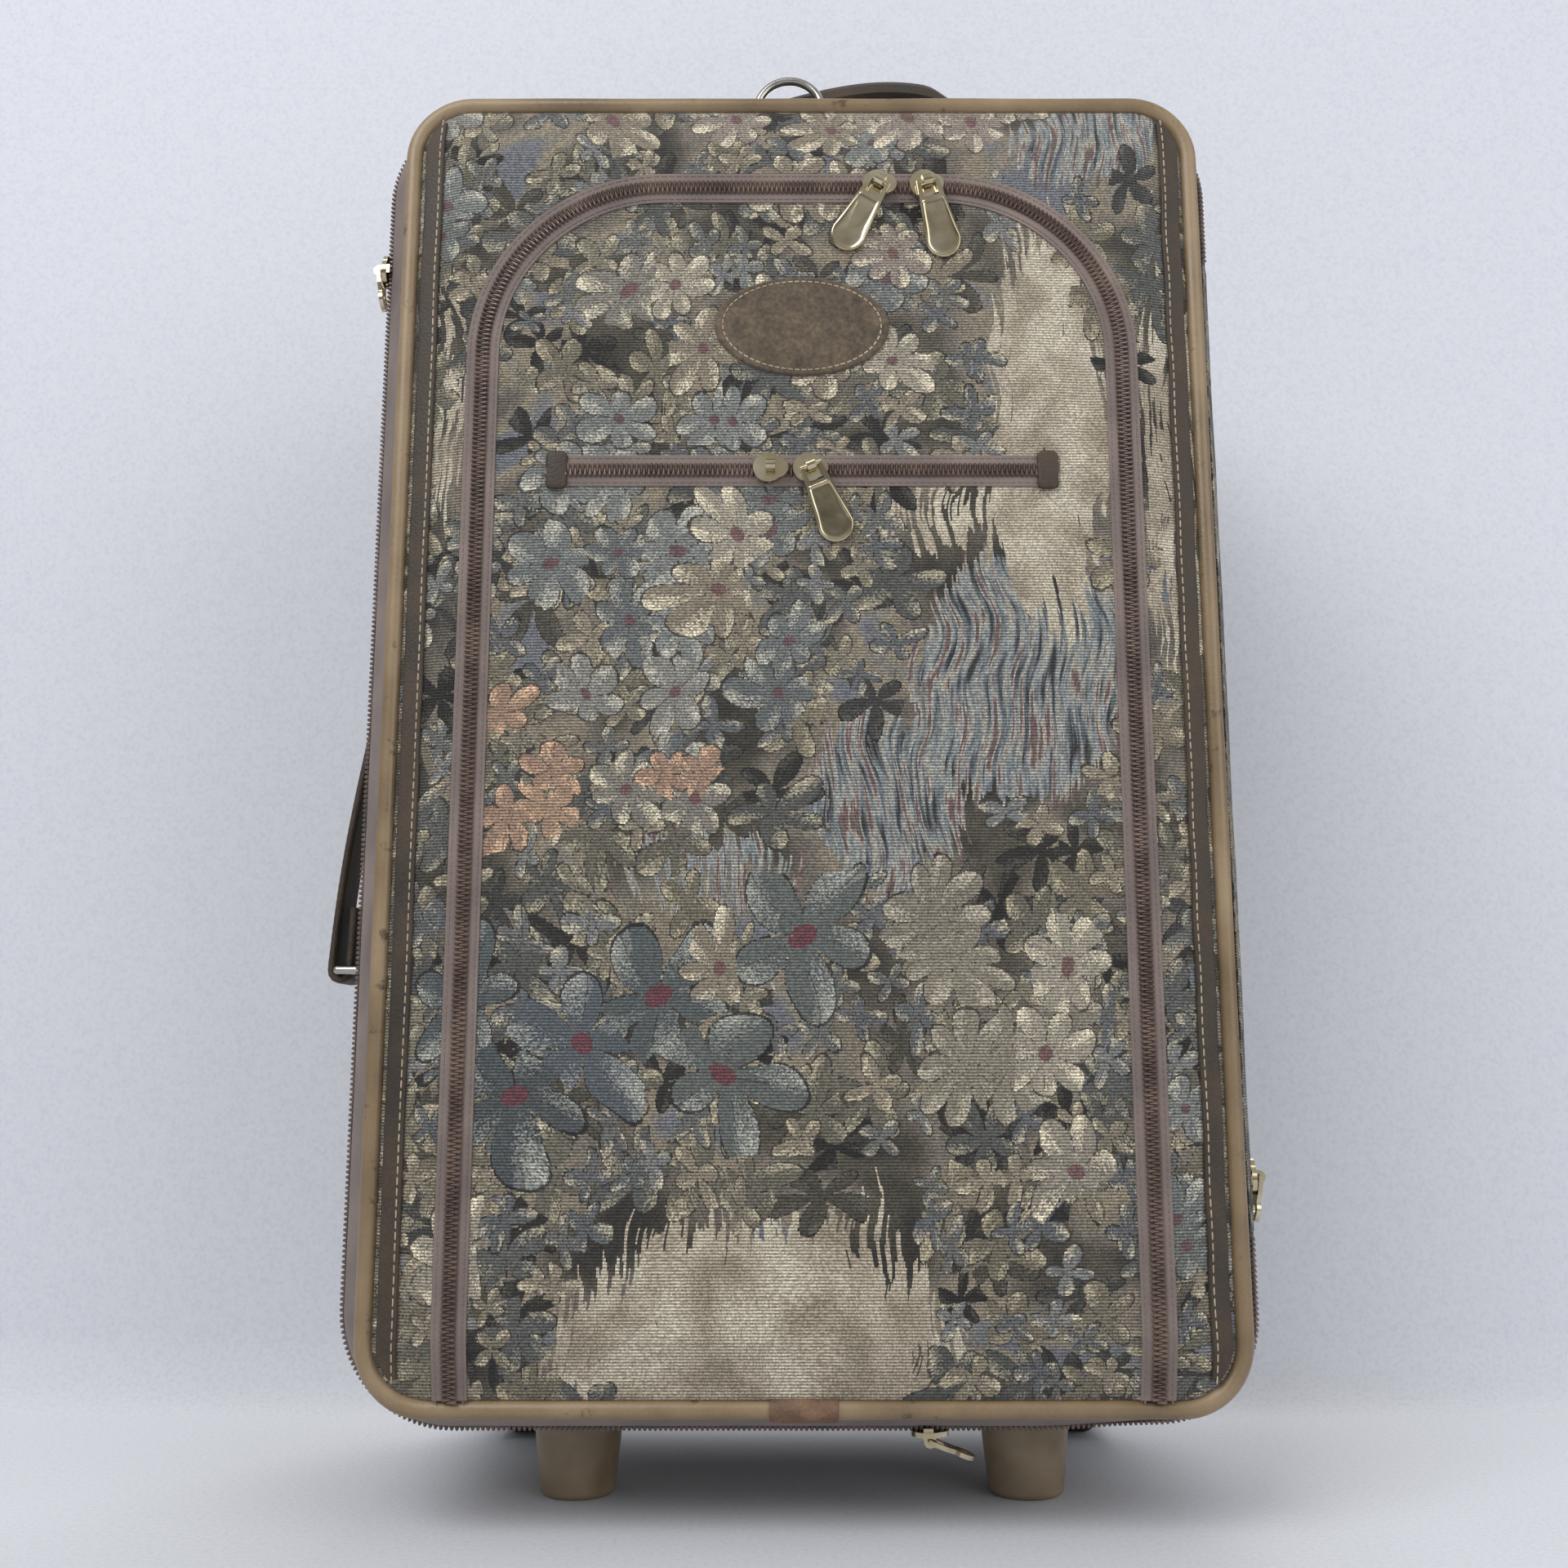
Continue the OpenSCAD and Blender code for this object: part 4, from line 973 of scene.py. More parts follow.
# Anodised aluminium tube, drawn lengthways
ALUMINIUM = Worked("anodised_aluminium", 0.32, metallic=1.0, shades=("#a4a6a8", "#b4b6b8"), mottle=60,
                   grain=Grain.BRUSHED, grain_size=0.5, grain_depth=0.01, grain_tone=0.06)
# Moulded polypropylene with a spark-eroded skin
PLASTIC = Worked("moulded_polypropylene", 0.5, ior=1.49, shades=("#302c29", "#3b3733"), mottle=40,
                 grain=Grain.FIBRE, grain_size=0.6, grain_depth=0.04, grain_tone=0.08,
                 worn="#5a5550", worn_size=4, worn_amount=0.0)
# Polyurethane tyre, dulled by use
RUBBER = Worked("polyurethane_tyre", 0.75, ior=1.5, shades=("#242221", "#33302e"), mottle=20,
                grain=Grain.FIBRE, grain_size=0.8, grain_depth=0.06, grain_tone=0.15,
                worn="#5b5650", worn_size=5, worn_amount=0.06)
# Moulded ABS feet in tan, with rubbed edges
FOOT_PLASTIC = Worked("moulded_abs_foot", 0.45, ior=1.53, shades=("#7f6d54", "#918067", "#9c8b71"),
                      mottle=22, grain=Grain.FIBRE, grain_size=0.7, grain_depth=0.04, grain_tone=0.05,
                      worn="#5d4c38", worn_size=8, worn_amount=0.05)
# Plain woven nylon lining with a soft shine
LINING = Worked("woven_nylon_lining", 0.6, ior=1.5, sheen=0.2, shades=("#6b6257", "#70675b", "#766d61"),
                mottle=40, grain=Grain.WEAVE, grain_size=1.4, grain_depth=0.06, grain_tone=0.1)
# Polyester sewing thread, pale against the leather
THREAD = Worked("polyester_thread", 0.7, ior=1.5, sheen=0.1, shades=("#9c8d74", "#b0a188", "#bdae96"),
                mottle=8, grain=Grain.FIBRE, grain_size=0.4, grain_depth=0.03, grain_tone=0.1)


@dataclass
class Finishes:
    """Every material of the suitcase, made once."""

    made: dict[str, bpy.types.Material] = field(default_factory=dict)

    def of(self, finish: Any) -> bpy.types.Material:
        """Gives the material of a finish, made the first time it is asked for."""
        if finish.name not in self.made:
            self.made[finish.name] = finish.make()
        return self.made[finish.name]

    def dress(self, node: Piece, finish: Any) -> None:
        """Puts a finish on a CAD node that stays in view."""
        node.data.materials.clear()
        node.data.materials.append(self.of(finish))
        LOG.info("%s stays, in %s", node.name, finish.name)


@dataclass
class Assembly:
    """A sub-assembly: where its drawing lies in the frame, and its materials."""

    datum: Datum
    finishes: Finishes
    panel_corner: float = field(default=30.0, kw_only=True)

    def lid_outline(self) -> "Ring":
        """The outside of the front piping."""
        d = self.datum
        return Ring(-d.panel_w / 2, d.panel_z0, d.panel_w / 2, d.panel_z1, self.panel_corner)


def at_depth(flat: Array, y: Any) -> Array:
    """Lays places (x, z) of the front view at a depth, one for all or one for each."""
    return np.column_stack([flat[:, 0], np.broadcast_to(y, len(flat)), flat[:, 1]])


@dataclass(frozen=True)
class Ring:
    """A rounded rectangle of the front view, cut into the same number of points whatever its size."""

    x0: float
    z0: float
    x1: float
    z1: float
    r: float

    ACROSS = 110
    UP = 180
    CORNER = 14

    def inset(self, by: float) -> "Ring":
        """Gives the ring that lies inside this one."""
        return Ring(self.x0 + by, self.z0 + by, self.x1 - by, self.z1 - by, max(0.02, self.r - by))

    def points(self, y: Any) -> Array:
        """Walks clockwise seen from the front, from the bottom left corner.

        Args:
            y: the depth, one for all points or one for each.

        Returns:
            One row for each point.
        """
        flat, _ = self.walk()
        return at_depth(flat, y)

    def walk(self) -> tuple[Array, Array]:
        """Gives the points (x, z) and the outward direction at each."""
        r = self.r
        corners = [(self.x0 + r, self.z0 + r, 270), (self.x0 + r, self.z1 - r, 180),
                   (self.x1 - r, self.z1 - r, 90), (self.x1 - r, self.z0 + r, 0)]
        points, outward = [], []
        for i, (cx, cz, first) in enumerate(corners):
            a = np.radians(first - 90 * np.arange(self.CORNER) / self.CORNER)
            points.append(np.column_stack([cx + r * np.cos(a), cz + r * np.sin(a)]))
            outward.append(np.column_stack([np.cos(a), np.sin(a)]))
            end = math.radians(first - 90)
            start = np.array([cx + r * math.cos(end), cz + r * math.sin(end)])
            nx, nz, nfirst = corners[(i + 1) % 4]
            a2 = math.radians(nfirst)
            stop = np.array([nx + r * math.cos(a2), nz + r * math.sin(a2)])
            n = self.UP if i % 2 == 0 else self.ACROSS
            t = (np.arange(n) / n)[:, None]
            points.append(start + (stop - start) * t)
            outward.append(np.tile([math.cos(end), math.sin(end)], (n, 1)))
        return np.vstack(points), np.vstack(outward)


def loft(rings: Sequence[Array], cloth: Optional[Sequence[Array]] = None, caps: Sequence[int] = ()) -> Shape:
    """Joins closed rings of equal counts with a skin.

    Args:
        rings: the rings in order.
        cloth: the flat places of each ring's points.
        caps: the numbers of the rings that are filled.

    Returns:
        A tube, closed where it has caps.
    """
    n = len(rings[0])
    flat = np.vstack(cloth) if cloth is not None else None
    faces = strip_faces(len(rings), n, False, True) + [tuple(range(i * n, (i + 1) * n)) for i in caps]
    return Shape().add(np.vstack(rings), faces, cloth=flat)


def fill(outer: Ring, insets: Sequence[float], depth: Callable[[Array, float], Array],
         before: Sequence[Array] = ()) -> Shape:
    """Fills a rounded rectangle with rings along its edge and a grid in the middle.

    Args:
        outer: the rectangle.
        insets: how far in the rings lie.
        depth: the depth y from places (x, z) and how far in they lie.
        before: rings that come first.

    Returns:
        A skin whose rings and grid meet in the same points.
    """
    deep = outer.r - 0.1
    rings = list(before)
    for inset in (*insets, deep):
        flat, _ = outer.inset(inset).walk()
        rings.append(at_depth(flat, depth(flat, inset)))
    inner = outer.inset(deep)
    xs = np.linspace(inner.x0 + inner.r, inner.x1 - inner.r, Ring.ACROSS + 1)
    zs = np.linspace(inner.z0 + inner.r, inner.z1 - inner.r, Ring.UP + 1)
    flat = np.column_stack([g.ravel() for g in np.meshgrid(xs, zs)])
    grid = at_depth(flat, depth(flat, deep))
    return loft(rings).add(grid, strip_faces(len(zs), len(xs)))


@dataclass
class Zip:
    """A zip along a path: two woven tapes, a row of wound teeth on each, and the thread that sews them down.

    up points out of the cloth. Sizes are in millimetres.
    """

    name: str
    path: Array
    up: Array
    closed: bool = False
    tape_w: float = 14.0
    tape_t: float = 0.8
    coil_w: float = 6.0
    coil_h: float = 1.9
    tooth_pitch: float = 2.1
    sink: float = 0.0

    def axes(self, path: Array, up: Array) -> tuple[Array, Array]:
        """Gives the direction along the zip and across it at each point."""
        along = directions(path, self.closed)
        across = np.cross(up, along)
        return along, across / np.linalg.norm(across, axis=1, keepdims=True)

    def at(self, step: float) -> tuple[Array, Array]:
        """Spaces the path and its up directions evenly."""
        both = resample(np.hstack([self.path, self.up * 1e-6]), step, self.closed)
        up = both[:, 3:]
        return both[:, :3], up / np.linalg.norm(up, axis=1, keepdims=True)

    def tapes(self, sides: Sequence[int] = (-1, 1)) -> Shape:
        """Makes the tapes, each with a raised inner edge and a turned outer edge."""
        path, up = self.at(2.5)
        _, across = self.axes(path, up)
        half, inner, t = self.tape_w / 2, 0.7, self.tape_t
        shape = Shape()
        for side in sides:
            outline = np.array([[inner, 0.02], [half - 0.3, 0.02], [half, 0.3 * t], [half - 0.2, 0.85 * t],
                                [half - 1.2, 0.75 * t], [half - 2.0, t], [self.coil_w / 2 + 0.3, t],
                                [inner + 0.6, 1.15 * t], [inner, 0.8 * t]])
            outline[:, 0] *= side
            shape.join(sweep(path - up * self.sink, across, up, outline, self.closed))
        return shape

    def teeth(self, sides: Sequence[int] = (-1, 1)) -> Shape:
        """Makes the rows of teeth, set half a pitch apart so that they lock."""
        path, up = self.at(self.tooth_pitch)
        along, across = self.axes(path, up)
        reach, h = self.coil_w / 2, self.coil_h
        bar = np.array([[-0.94, 0], [0.94, 0], [0.8, 0.55 * h], [0.34, h], [-0.34, h], [-0.8, 0.55 * h]])
        steps = np.array([-0.9, -0.3, 0.75 * reach, reach])
        size = np.array([0.5, 0.62, 1.0, 0.6])
        line = np.column_stack([np.zeros(4), steps, np.zeros(4)])
        outline = bar[None] * np.stack([size, size], axis=1)[:, None, :]
        tooth = sweep(line, (1.0, 0, 0), (0.0, 0, 1), outline)
        shape = Shape()
        base = path + up * (self.tape_t * 0.9 - self.sink)
        for side in sides:
            shift = along * self.tooth_pitch / 4 * side
            shape.join(scatter(tooth, base + shift, along, across * side, up))
        return shape

    def seams(self, sides: Sequence[int] = (-1, 1), in_from_edge: float = 1.6, pitch: float = 3.2) -> Shape:
        """Makes the stitches along the tapes' outer edges."""
        path, up = self.at(pitch)
        along, across = self.axes(path, up)
        stitch = capsule(pitch * 0.8, 0.28, 5)
        shape = Shape()
        for side in sides:
            base = path + across * side * (self.tape_w / 2 - in_from_edge) + up * (self.tape_t - self.sink)
            shape.join(scatter(stitch, base, along, across, up))
        return shape


@dataclass
class Front(Assembly):
    """The padded front of the lid, with its zips, strips, patch and piping."""

    pad_inset: float = 7.0
    edge_round: float = 4.0
    edge_drop: float = 7.0
    puff: float = 1.7
    strip_w: float = 9.2
    strip_in: float = 9.6
    strip_end: float = 10.0
    zip_tuck: float = 5.0
    leather_t: float = 1.6
    patch_w: float = 76.0
    patch_h: float = 46.0
    wrap_w: float = 27.0
    wrap_t: float = 1.0

    def pocket_path(self) -> Array:
        """The middle of the U-shaped pocket zip, up the left side, over the top and down the right."""
        low, high = self.datum.node_box("pocket_zip_coil")
        half_coil = 3.0
        half, top, bottom = high[0] - half_coil, high[2] - half_coil, low[2] - self.zip_tuck
        r = 78.0
        turn = np.radians(np.linspace(180, 90, 40))
        left = np.column_stack([-half + r + r * np.cos(turn), top - r + r * np.sin(turn)])
        right = left[::-1] * (-1, 1)
        flat = np.vstack([[[-half, bottom]], left, right, [[half, bottom]]])
        return at_depth(flat, -self.datum.panel_rise)

    def slip_line(self) -> tuple[float, float, float]:
        """Height and two ends of the slip pocket zip."""
        low, high = self.datum.node_box("slip_zip_tape")
        return (low[2] + high[2]) / 2, low[0], high[0]

    def face_y(self, x: Array, z: Array) -> Array:
        """Gives the depth of the padded face: flat along the zips and puffed between them.

        Args:
            x, z: places on the front.

        Returns:
            The depth y at each place.
        """
        d = self.datum
        path = resample(self.pocket_path(), 4.0)
        slip_z, slip_a, slip_b = self.slip_line()
        slip = np.column_stack([np.arange(slip_a, slip_b, 4.0), np.zeros(len(np.arange(slip_a, slip_b, 4.0)))])
        slip[:, 1] = slip_z
        lines = np.vstack([path[:, [0, 2]], slip])
        places = np.column_stack([x, z])
        near = np.full(len(places), 1e9)
        for start in range(0, len(lines), 64):
            gap = np.linalg.norm(places[:, None, :] - lines[None, start:start + 64], axis=2)
            near = np.minimum(near, gap.min(axis=1))
        edge = self.depth_in(x, z)
        swell = smooth_step(11, 48, near) * smooth_step(18, 60, edge)
        # The cloth puckers beside the zips' seams
        pucker = smooth_step(7.5, 10, near) * (1 - smooth_step(12, 26, near))
        ripple = 0.5 + 0.5 * smooth_noise(places, 14.0, 3)
        soft = smooth_noise(places, 55.0, 8)
        drop = self.edge_drop * (1 - smooth_step(4, 36, edge))
        return -d.panel_rise - self.puff * swell * (0.8 + 0.4 * soft) + 0.7 * pucker * ripple + drop

    def depth_in(self, x: Array, z: Array) -> Array:
        """Gives how far places lie inside the piping's outer edge."""
        ring = self.lid_outline()
        out_x = np.maximum(x - ring.x1, ring.x0 - x) + ring.r
        out_z = np.maximum(z - ring.z1, ring.z0 - z) + ring.r
        beyond = np.hypot(np.maximum(out_x, 0), np.maximum(out_z, 0)) + np.minimum(np.maximum(out_x, out_z), 0)
        return ring.r - beyond

    def panel(self) -> Piece:
        """Builds the padded cloth panel with its edges rolled in behind the piping."""
        outer = self.lid_outline().inset(self.pad_inset)
        rolls = [(0.0, 12.0), (0.0, 7.0)]
        rolls += [(self.edge_round * (1 - math.cos(a)), self.edge_round * (1 - math.sin(a)))
                  for a in np.radians([0, 18, 36, 54, 72, 90])]
        edge = []
        for inset, back in rolls:
            flat, _ = outer.inset(inset).walk()
            edge.append(np.column_stack([flat[:, 0], self.face_y(flat[:, 0], flat[:, 1]) + back, flat[:, 1]]))
        shape = fill(outer, (9.0, 13.0, 18.0), lambda flat, inset: self.face_y(flat[:, 0], flat[:, 1]), edge)
        shape.add(edge[0], [tuple(range(len(edge[0])))])
        piece = shape.piece("front_cloth", self, TAPESTRY, angle=60)
        merge_near(piece, 0.06)
        return settle(piece, "lid", ["front_panel"])

    def piping(self) -> Piece:
        """Builds the vinyl piping round the front, a little uneven as sewn cord is."""
        r = self.datum.piping_d / 2
        flat, outward = self.lid_outline().inset(r).walk()
        path = at_depth(flat, r)
        side = np.column_stack([outward[:, 0], np.zeros(len(flat)), outward[:, 1]])
        size = 1 - 0.05 * (0.5 + 0.5 * smooth_noise(path, 22.0, 5))
        profile = round_profile(r, 16)[None] * size[:, None, None]
        piece = sweep(path, side, (0.0, -1.0, 0.0), profile, True).piece("front_piping_cord", self, PIPING)
        return settle(piece, "lid", ["front_piping"])

    def wrap(self) -> Piece:
        """Builds the leather sleeve over the joint in the piping, at the middle of the bottom."""
        d, r = self.datum, self.datum.piping_d / 2
        xs = np.linspace(-self.wrap_w / 2, self.wrap_w / 2, 15)
        path = np.column_stack([xs, np.full(15, r), np.full(15, d.panel_z0 + r)])
        swell = 1 + 0.03 * smooth_noise(path, 9.0, 2)
        swell[[0, -1]] *= 0.93
        profile = round_profile(r + self.wrap_t, 22)[None] * swell[:, None, None]
        piece = sweep(path, (0.0, -1, 0), (0.0, 0, 1), profile).piece("piping_sleeve", self, RUBBED_LEATHER)
        return settle(piece, "lid", ["piping_wrap"])

    def strips(self) -> list[Piece]:
        """Builds the two leather strips, slimmer where the corners cut in, with stitches on their inner edges."""
        d = self.datum
        inner = d.panel_w / 2 - self.strip_in - self.strip_w
        strips, stitches = Shape(), Shape()
        zs = np.arange(d.panel_z0 + self.strip_end, d.panel_z1 - self.strip_end + 0.1, 2.0)
        reach = np.array([max(w for w in np.linspace(0.5, self.strip_w, 40)
                              if w == 0.5 or self.depth_in(np.array([inner + w]), np.array([z]))[0] > self.strip_in)
                          for z in zs])
        zs, reach = zs[reach > 1.5], reach[reach > 1.5]
        for side in (-1, 1):
            x = side * (inner + reach / 2 + 0.3 * smooth_noise(np.column_stack([zs, zs]), 40.0, 21 + side))
            edges = [self.face_y(x + side * reach / 2 * k, zs) for k in (-1, 1)]
            lean = (edges[1] - edges[0]) / reach
            across = np.column_stack([np.full(len(zs), float(-side)), -lean, np.zeros(len(zs))])
            across /= np.linalg.norm(across, axis=1, keepdims=True)
            out = np.cross(across, (0.0, 0, 1))
            out *= -np.sign(out[:, 1:2])
            path = np.column_stack([x, (edges[0] + edges[1]) / 2, zs]) + out * self.leather_t / 2
            outline = strap_profile(self.strip_w, self.leather_t, 0.25)[None] * np.ones((len(zs), 1, 1))
            outline[:, :, 0] *= (reach / self.strip_w)[:, None]
            strips.join(sweep(path, across, out, outline))
            seam = resample(path + across * (reach / 2 - 1.8)[:, None] + out * (self.leather_t / 2 + 0.1), 4.2)
            half = len(seam) // 2
            stitches.join(scatter(capsule(3.1, 0.34), seam, directions(seam), across[half], out[half]))
        leather = strips.piece("side_strips", self, LEATHER)
        thread = stitches.piece("side_strip_stitches", self, THREAD)
        return [settle(leather, "lid", ["leather_strips"]), settle(thread, "lid")]

    def patch(self) -> list[Piece]:
        """Builds the bare oval suede patch and its stitched edge."""
        d = self.datum
        low, high = d.node_box("oval_patch")
        cx, cz = (low[0] + high[0]) / 2, (low[2] + high[2]) / 2
        a = np.linspace(0, 2 * math.pi, 120, endpoint=False)
        unit = np.column_stack([np.cos(a) * self.patch_w / 2, np.sin(a) * self.patch_h / 2])
        rings = []
        for share, proud in ((0.99, -1.2), (1.0, 0.2), (0.995, 0.9), (0.975, 1.4), (0.93, 1.45), (0.9, 1.25),
                             (0.86, 1.5), (0.7, 1.75), (0.5, 1.85), (0.25, 1.9), (0.02, 1.9)):
            flat = unit * share + (cx, cz)
            y = self.face_y(flat[:, 0], flat[:, 1]) - proud
            rings.append(at_depth(flat, y))
        shape = loft(rings, caps=(0, len(rings) - 1))
        suede = shape.piece("bare_oval_patch", self, SUEDE, angle=50)
        seam = resample(at_depth(unit * (0.905, 0.9) + (cx, cz), 0.0), 2.9, True)
        seam[:, 1] = self.face_y(seam[:, 0], seam[:, 2]) - 1.45
        along = directions(seam, True)
        out = (0.0, -1, 0)
        thread = scatter(capsule(2.1, 0.34), seam, along, np.cross(out, along), out)
        stitches = thread.piece("oval_patch_stitches", self, THREAD)
        return [settle(suede, "lid", ["oval_patch"]), settle(stitches, "lid")]

    def pocket_zips(self) -> list[Piece]:
        """Builds the pocket zip and the slip zip with its leather end tabs."""
        d = self.datum
        slip_z, slip_a, slip_b = self.slip_line()
        y = -d.panel_rise
        out = np.array([0.0, -1.0, 0.0])
        pocket_path = resample(self.pocket_path(), 3.0)
        pocket_path[:, 1] = self.face_y(pocket_path[:, 0], pocket_path[:, 2]) - 0.1
        slip_path = np.column_stack([np.linspace(slip_a, slip_b, 30), np.full(30, y), np.full(30, slip_z)])
        made = []
        for name, path in (("pocket", pocket_path), ("slip", slip_path)):
            zipper = Zip(name, path, np.tile(out, (len(path), 1)))
            tape = zipper.tapes().piece(name + "_zip_tapes", self, ZIP_TAPE)
            teeth = zipper.teeth().piece(name + "_zip_teeth", self, ZIP_COIL)
            seams = zipper.seams().piece(name + "_zip_stitches", self, ZIP_TAPE)
            made += [settle(tape, "lid", [name + "_zip_tape"]),
                     settle(teeth, "lid", [name + "_zip_coil"]), settle(seams, "lid")]
        tabs = Shape()
        for low_x, high_x in ((slip_a, slip_a + 8.0), (slip_b - 8.0, slip_b)):
            tabs.join(cushion_block((low_x - 0.5, y - 2.6, slip_z - 8.5), (high_x + 0.5, y + 0.2, slip_z + 8.5), 1.0))
        tab = tabs.piece("slip_zip_leather_tabs", self, LEATHER)
        return made + [settle(tab, "lid", ["slip_zip_tabs"])]

    def build(self) -> None:
        """Builds every piece of the front."""
        self.panel()
        self.piping()
        self.wrap()
        self.strips()
        self.patch()
        self.pocket_zips()


def merge_near(piece: Piece, gap_mm: float) -> None:
    """Joins vertices that lie together, so that a skin made of patches is whole."""
    mesh = bmesh.new()
    mesh.from_mesh(piece.data)
    bmesh.ops.remove_doubles(mesh, verts=mesh.verts, dist=gap_mm * MM)
    bmesh.ops.dissolve_degenerate(mesh, edges=mesh.edges, dist=1e-6)
    bmesh.ops.recalc_face_normals(mesh, faces=mesh.faces)
    mesh.to_mesh(piece.data)
    mesh.free()


def cushion_block(low: Sequence[float], high: Sequence[float], r: float) -> Shape:
    """Makes a block with rounded edges, as of folded leather.

    Args:
        low, high: its corners.
        r: the rounding.

    Returns:
        A closed shape.
    """
    low, high = np.array(low, float), np.array(high, float)
    ring = Ring(low[0], low[2], high[0], high[2], min(2 * r, (high[0] - low[0]) / 2.2))
    turn = np.linspace(0, 2 * math.pi, 64, endpoint=False)
    flat, _ = ring.walk()
    pick = np.linspace(0, len(flat), 64, endpoint=False).astype(int)
    mid = flat.mean(axis=0)
    rings = []
    for inset, y in ((r, high[1]), (0.3 * r, high[1] - 0.3 * r), (0, high[1] - r), (0, low[1] + r),
                     (0.3 * r, low[1] + 0.3 * r), (r, low[1]), (1.6 * r, low[1] - 0.12 * r)):
        share = 1 - inset / np.maximum(1e-6, np.linalg.norm(flat[pick] - mid, axis=1))
        spot = mid + (flat[pick] - mid) * share[:, None]
        rings.append(at_depth(spot, y))
    return loft(rings, caps=(0, len(rings) - 1))


def cut_box(piece: Piece, datum: Datum, low: Sequence[float], high: Sequence[float]) -> None:
    """Cuts a window with straight edges out of a skin.

    Args:
        piece: the skin.
        datum: places the drawing in the frame.
        low, high: corners of what is cut away.
    """
    a, b = datum.world([low, high])
    mesh = bmesh.new()
    mesh.from_mesh(piece.data)
    margin = 0.02
    for axis in range(3):
        for side in (a[axis], b[axis]):
            near = [f for f in mesh.faces
                    if all(a[k] - margin < f.calc_center_median()[k] < b[k] + margin for k in range(3))]
            around = {g for f in near for g in (f, *f.edges, *f.verts)}
            normal = [0.0, 0.0, 0.0]
            normal[axis] = 1.0
            spot = [0.0, 0.0, 0.0]
            spot[axis] = side
            bmesh.ops.bisect_plane(mesh, geom=list(around), plane_co=spot, plane_no=normal, dist=1e-6)
    gone = [f for f in mesh.faces if all(a[k] < f.calc_center_median()[k] < b[k] for k in range(3))]
    bmesh.ops.delete(mesh, geom=gone, context="FACES")
    mesh.to_mesh(piece.data)
    mesh.free()


def thicken(piece: Piece, thick_mm: float) -> None:
    """Gives a skin its thickness, towards its inside."""
    solid = piece.modifiers.new("thickness", "SOLIDIFY")
    solid.thickness = thick_mm * MM
    solid.offset = -1.0


